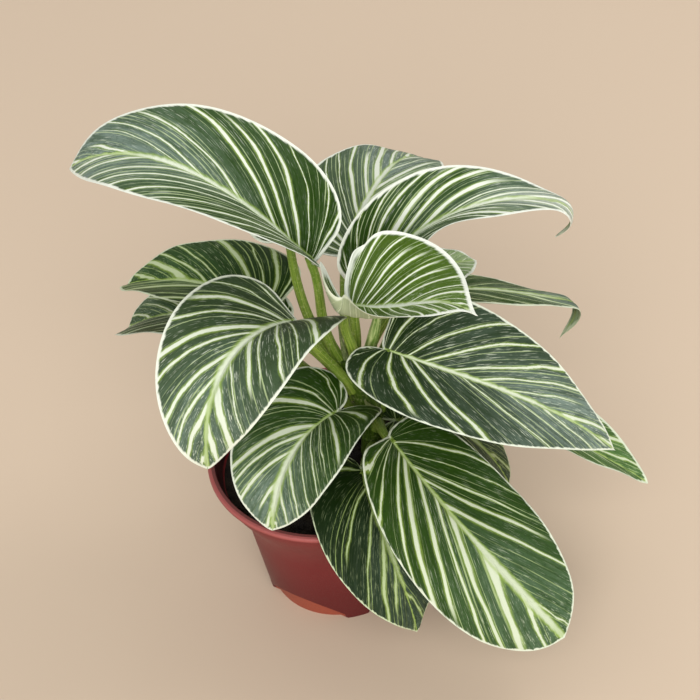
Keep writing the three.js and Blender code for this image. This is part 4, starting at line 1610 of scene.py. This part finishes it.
LEAVES: dict[str, tuple[LeafShape, LeafFinish]] = {
    "leaf_upper_left": (
        LeafShape(
            at=(5, 0, 206), heading=(139, 162), pitch=(25.5, 17, -41), length=138.5, width=71,
            foot=(139, 177), left=(52, -10, 3, -30), right=(57, 26, -5, -24), lobes=(0.045, 0.005),
            widest=0.27, tip=0.55, lean=0.47,
        ),
        LeafFinish(
            seed=1, painted_sheen=0.85, cream=0.95, broad=(14, 0.08, 0.95), fine=(42, 0.095, 0.8), midrib=1.5,
            margin=1.5, spindle=(0.15, 0.7), busier=-0.22,
        ),
    ),
    "leaf_left_back": (
        LeafShape(
            at=(-18, 20, 163), heading=(138, 153), pitch=(2, -10, -28), length=92, width=66,
            foot=(113, 151), left=(25, 25, 0, 0), right=(30, 15, -40, -20), lobes=(0.12, 0.03),
            widest=0.28, tip=0.7, lean=0.55,
        ),
        LeafFinish(
            seed=2, deep=(28, 54, 4), green=(40, 78, 12), painted_sheen=0.1, cream=0.45, broad=(11, 0.09, 0.85),
            fine=(30, 0.08, 0.6),
        ),
    ),
    "leaf_left_low": (
        LeafShape(
            at=(-22, 20, 149), heading=(145, 148), pitch=(0, -18, -45), length=96, width=50,
            foot=(100, 180), left=(15, 15, 0, 0), right=(20, 20, 0, 0), lobes=(0.1, 0.08), widest=0.28,
            tip=0.95, lean=0.52,
        ),
        LeafFinish(seed=3, green=(40, 80, 24), painted_sheen=0.25, cream=0.7),
    ),
    "leaf_left_front": (
        LeafShape(
            at=(-6, -12, 182), heading=(-146, -98.5), pitch=(27.5, -12.5, -83.5), length=99, width=72.5,
            foot=(122, 207), left=(39, -12, -16, -26), right=(6.5, 21, 14, 30), lobes=(0.11, 0.01),
            widest=0.2, tip=0.47, lean=0.37,
        ),
        LeafFinish(
            seed=4, deep=(50, 68, 38), green=(50, 76, 34), painted_sheen=0.45, cream=0.85,
            broad=(12, 0.085, 1.0), fine=(34, 0.085, 0.65), taper=2.0, midrib=1.9, margin=1.4,
            spindle=(0.05, 0.6), flecks=0.7,
        ),
    ),
    "leaf_front": (
        LeafShape(
            at=(8, -18, 128), heading=(-142, -108), pitch=(11, -20, -70), length=72, width=64,
            foot=(104, 235), left=(25, 5, 0, 0), right=(25, 5, 0, 0), lobes=(0.16, 0.16), widest=0.28,
        ),
        LeafFinish(
            seed=5, painted_sheen=0.65, broad=(11, 0.08, 0.9), fine=(34, 0.085, 0.6), taper=2.0, midrib=1.7,
            margin=1.0, spindle=(0.35, 0.85),
        ),
    ),
    "leaf_front_right": (
        LeafShape(
            at=(30.5, -28.5, 118), heading=(-53.5, -35.5), pitch=(-32, -35, -42.5), length=126.5,
            width=74.5, foot=(98, 290), left=(-20, 8.5, 9, 11), right=(30, -33, -7, -30),
            lobes=(0.03, 0.005), widest=0.36, tip=0.79,
        ),
        LeafFinish(
            seed=6, green=(50, 84, 20), painted_sheen=0.25, cream=0.7, broad=(11, 0.078, 0.9),
            fine=(34, 0.085, 0.55), taper=1.9, midrib=1.9, margin=1.0, spindle=(0.5, 0.95), busier=0.3,
        ),
    ),
    "leaf_front_low": (
        LeafShape(
            at=(16, -28, 98), heading=(-84, -52), pitch=(-2, -45, -85), length=91, width=60,
            foot=(84, 265), left=(0, 0, 0, 0), right=(0, 0, 0, 0), lobes=(0.12, 0.12), widest=0.32,
            tip=0.35,
        ),
        # Darker greens than the other blades: painted shade, for the shadow this low leaf hangs in.
        LeafFinish(
            seed=7, deep=(18, 38, 4), green=(20, 46, 8), painted_sheen=0.22, cream=0.35, broad=(8, 0.05, 0.85),
            fine=(28, 0.06, 0.6), midrib=1.0, margin=0.7,
        ),
    ),
    "leaf_right": (
        LeafShape(
            at=(32, -8, 156), heading=(-25, -10), pitch=(-12, -21, -50), length=123, width=72,
            foot=(124, 320), left=(32, -5, 0, 0), lobes=(0.02, 0.1), widest=0.22, tip=0.3,
            roll=(0, -22),
        ),
        LeafFinish(
            seed=8, deep=(28, 48, 16), green=(40, 66, 34), painted_sheen=0.95, broad=(11, 0.06, 0.9),
            fine=(30, 0.065, 0.6), midrib=1.1, margin=1.0, flecks=0.7,
        ),
    ),
    "leaf_young": (
        LeafShape(
            at=(18, -15.5, 193), heading=(-20, -52.5), pitch=(-11, 28.5, -6.5), length=73, width=71.5,
            foot=(137, 295), left=(43, 7.5, 2.5, -4.5), right=(0.5, 4, 105, 26), lobes=(0.06, 0.166),
            widest=0.265, tip=0.08, change=(0, 0.9), lift=(16, 10),
        ),
        LeafFinish(
            seed=9, deep=(62, 88, 14), green=(84, 114, 26), painted_sheen=0.1, cream=1.0, broad=(16, 0.082, 1.0),
            fine=(46, 0.09, 0.75), taper=1.2, midrib=1.2, margin=2.0, below=(212, 222, 186),
        ),
    ),
    "leaf_back": (
        LeafShape(
            at=(18, 41, 173.5), heading=(68, 52), pitch=(14, 2, -50), length=98, width=70,
            foot=(129, 98), left=(10, 0, 0, 0), lobes=(0.02, 0.06), widest=0.28, tip=0.6, lean=0.41,
        ),
        LeafFinish(
            seed=10, deep=(60, 80, 50), painted_sheen=0.95, cream=0.95, broad=(13, 0.1, 0.95),
            fine=(40, 0.095, 0.8),
        ),
    ),
    "leaf_upper_right": (
        LeafShape(
            at=(21, 10.5, 178), heading=(40, -37), pitch=(21, 13.5, -26.5), length=139, width=54,
            foot=(139, 46), left=(54, 2.5, 1, 1.5), right=(44, -11, -12, 5), lobes=(0, 0.02),
            widest=0.226, tip=0.06, roll=(-22.5, 28.5), nod=(0.757, 0.932, 107), change=(0.3, 0.8),
            lean=0.37,
        ),
        LeafFinish(
            seed=11, painted_sheen=0.95, cream=1.0, broad=(14, 0.115, 1.0), fine=(42, 0.11, 0.9), midrib=1.4,
            margin=1.6, frost=0.45,
        ),
    ),
    "leaf_right_back": (
        LeafShape(
            at=(48.5, 31.5, 152), heading=(26, 16), pitch=(-11.5, -30.5, -24), length=129, width=34,
            foot=(118, 35), left=(12, -5, 0, 0), right=(0, -2, 0, 0), lobes=(0.096, 0.1), widest=0.203,
            tip=0.2, roll=(12, 4), nod=(0.74, 0.94, 105), change=(0, 0.7),
        ),
        LeafFinish(seed=12, painted_sheen=0.85, cream=0.6, broad=(8, 0.039, 0.8), fine=(34, 0.07, 0.7)),
    ),
    "leaf_right_low": (
        LeafShape(
            at=(44, 10, 114), heading=(0, -26), pitch=(-25, -27, -30), length=133, width=56,
            foot=(104, 15), left=(20, 20, 0, 0), right=(30, 30, 0, 0), tip=0.45,
        ),
        LeafFinish(
            seed=13, green=(72, 112, 34), painted_sheen=0.15, cream=0.6, broad=(8, 0.039, 0.8),
            fine=(34, 0.07, 0.7),
        ),
    ),
    "leaf_low_behind": (
        LeafShape(
            at=(34, -1, 101), heading=(10, -20), pitch=(-5, -45, -72), length=82, width=54,
            foot=(86, 345),
        ),
        LeafFinish(
            seed=14, green=(30, 56, 20), painted_sheen=0.2, cream=0.4, broad=(8, 0.039, 0.7),
            fine=(34, 0.07, 0.6),
        ),
    ),
    "leaf_small_behind": (
        LeafShape(
            at=(46, 20, 170), heading=(30, 20), pitch=(5, -5, -20), length=40, width=34, foot=(127, 46),
            lean=0.41,
        ),
        LeafFinish(seed=15, deep=(110, 140, 84), green=(160, 182, 128), painted_sheen=0.2, cream=1.0),
    ),
    "leaf_hidden_behind": (
        LeafShape(
            at=(-6, 25, 203), heading=(100, 95), pitch=(10, -5, -50), length=64, width=40,
            foot=(129, 158), lobes=(0.05, 0.05), lean=0.87, arrive=3,
        ),
        LeafFinish(seed=16, painted_sheen=0.4),
    ),
}


@dataclass
class Studio:
    """The pale floor, the soft lights and the camera at the photograph's angle."""

    eye: Triple = (0.0165, -0.6635, 0.758)
    right: Triple = (0.9945, -0.0706, -0.0771)
    up: Triple = (0.1045, 0.6719, 0.7332)
    back: Triple = (0, -0.7373, 0.6756)
    focal_pixels: float = 1900
    image_pixels: float = 700
    sensor: float = 36
    floor_size: float = 8
    floor_tone: Triple = (208, 189, 168)
    aim: Triple = (0, 0, 0.12)
    room_tint: Quad = (1, 0.98, 0.95, 1)
    room_strength: float = 0.52

    LAMPS = (
        ("overhead", (0.4, 1.1, 2.3), 2.4, 10, (1, 0.99, 0.97)),
        ("key", (1.2, 0.4, 1.6), 0.8, 7, (1, 0.98, 0.95)),
        ("fill", (-0.1, -2.7, 2.1), 2.7, 98, (1, 0.98, 0.95)),
    )

    def floor(self) -> None:
        """Lay the plain floor."""
        body = bmesh.new()
        bmesh.ops.create_grid(body, x_segments=1, y_segments=1, size=self.floor_size / 2)
        mesh = bpy.data.meshes.new("floor")
        body.to_mesh(mesh)
        body.free()
        material, _, shader = Shader("floor", roughness=0.9, specular=0.1).start()
        shader.inputs["Base Color"].default_value = colour(self.floor_tone)
        mesh.materials.append(material)
        floor = bpy.data.objects.new("floor", mesh)
        bpy.context.scene.collection.objects.link(floor)

    def light(self, name: str, place: Triple, size: float, watts: float, tint: Triple) -> None:
        """Hang a square soft light that faces the plant.

        Args:
            name: The lamp's name.
            place: Where it hangs.
            size: The length of its side.
            watts: Its power.
            tint: Its colour.
        """
        data = bpy.data.lights.new(name, "AREA")
        data.shape = "SQUARE"
        data.size = size
        data.energy = watts
        data.color = tint
        lamp = bpy.data.objects.new(name, data)
        lamp.location = place
        lamp.rotation_mode = "QUATERNION"
        lamp.rotation_quaternion = (Vector(self.aim) - Vector(place)).to_track_quat("-Z", "Y")
        bpy.context.scene.collection.objects.link(lamp)

    def lights(self) -> None:
        """Hang the overhead light, the key from behind on the right and the front fill."""
        for lamp in self.LAMPS:
            self.light(*lamp)
        world = bpy.data.worlds.new("room")
        world.use_nodes = True
        background = world.node_tree.nodes["Background"]
        background.inputs["Color"].default_value = self.room_tint
        background.inputs["Strength"].default_value = self.room_strength
        bpy.context.scene.world = world

    def camera(self) -> None:
        """Set the camera where the photograph was taken."""
        data = bpy.data.cameras.new("camera")
        data.sensor_width = self.sensor
        data.lens = self.focal_pixels / self.image_pixels * self.sensor
        data.clip_start = 0.05
        turn = Matrix([self.right, self.up, self.back]).transposed()
        camera = bpy.data.objects.new("camera", data)
        camera.matrix_world = Matrix.Translation(self.eye) @ turn.to_4x4()
        bpy.context.scene.collection.objects.link(camera)
        bpy.context.scene.camera = camera

    def build(self) -> None:
        """Set up the whole studio."""
        self.floor()
        self.lights()
        self.camera()
        bpy.context.scene.view_settings.view_transform = "Standard"


def main() -> None:
    """Build the pot, the soil, the plant and the studio."""
    logging.basicConfig(level=logging.INFO, format="%(name)s: %(message)s")
    finishes = Finishes()
    stem = StemLine()
    pot = Pot()
    pot.build(finishes)
    Soil(pot).build(finishes)
    Stem(stem).build(finishes)
    NewLeaf().build(finishes)
    for name, (shape, finish) in LEAVES.items():
        Leaf(name, shape, finish, stem).build(finishes)
    Studio().build()


if __name__ == "__main__":
    main()
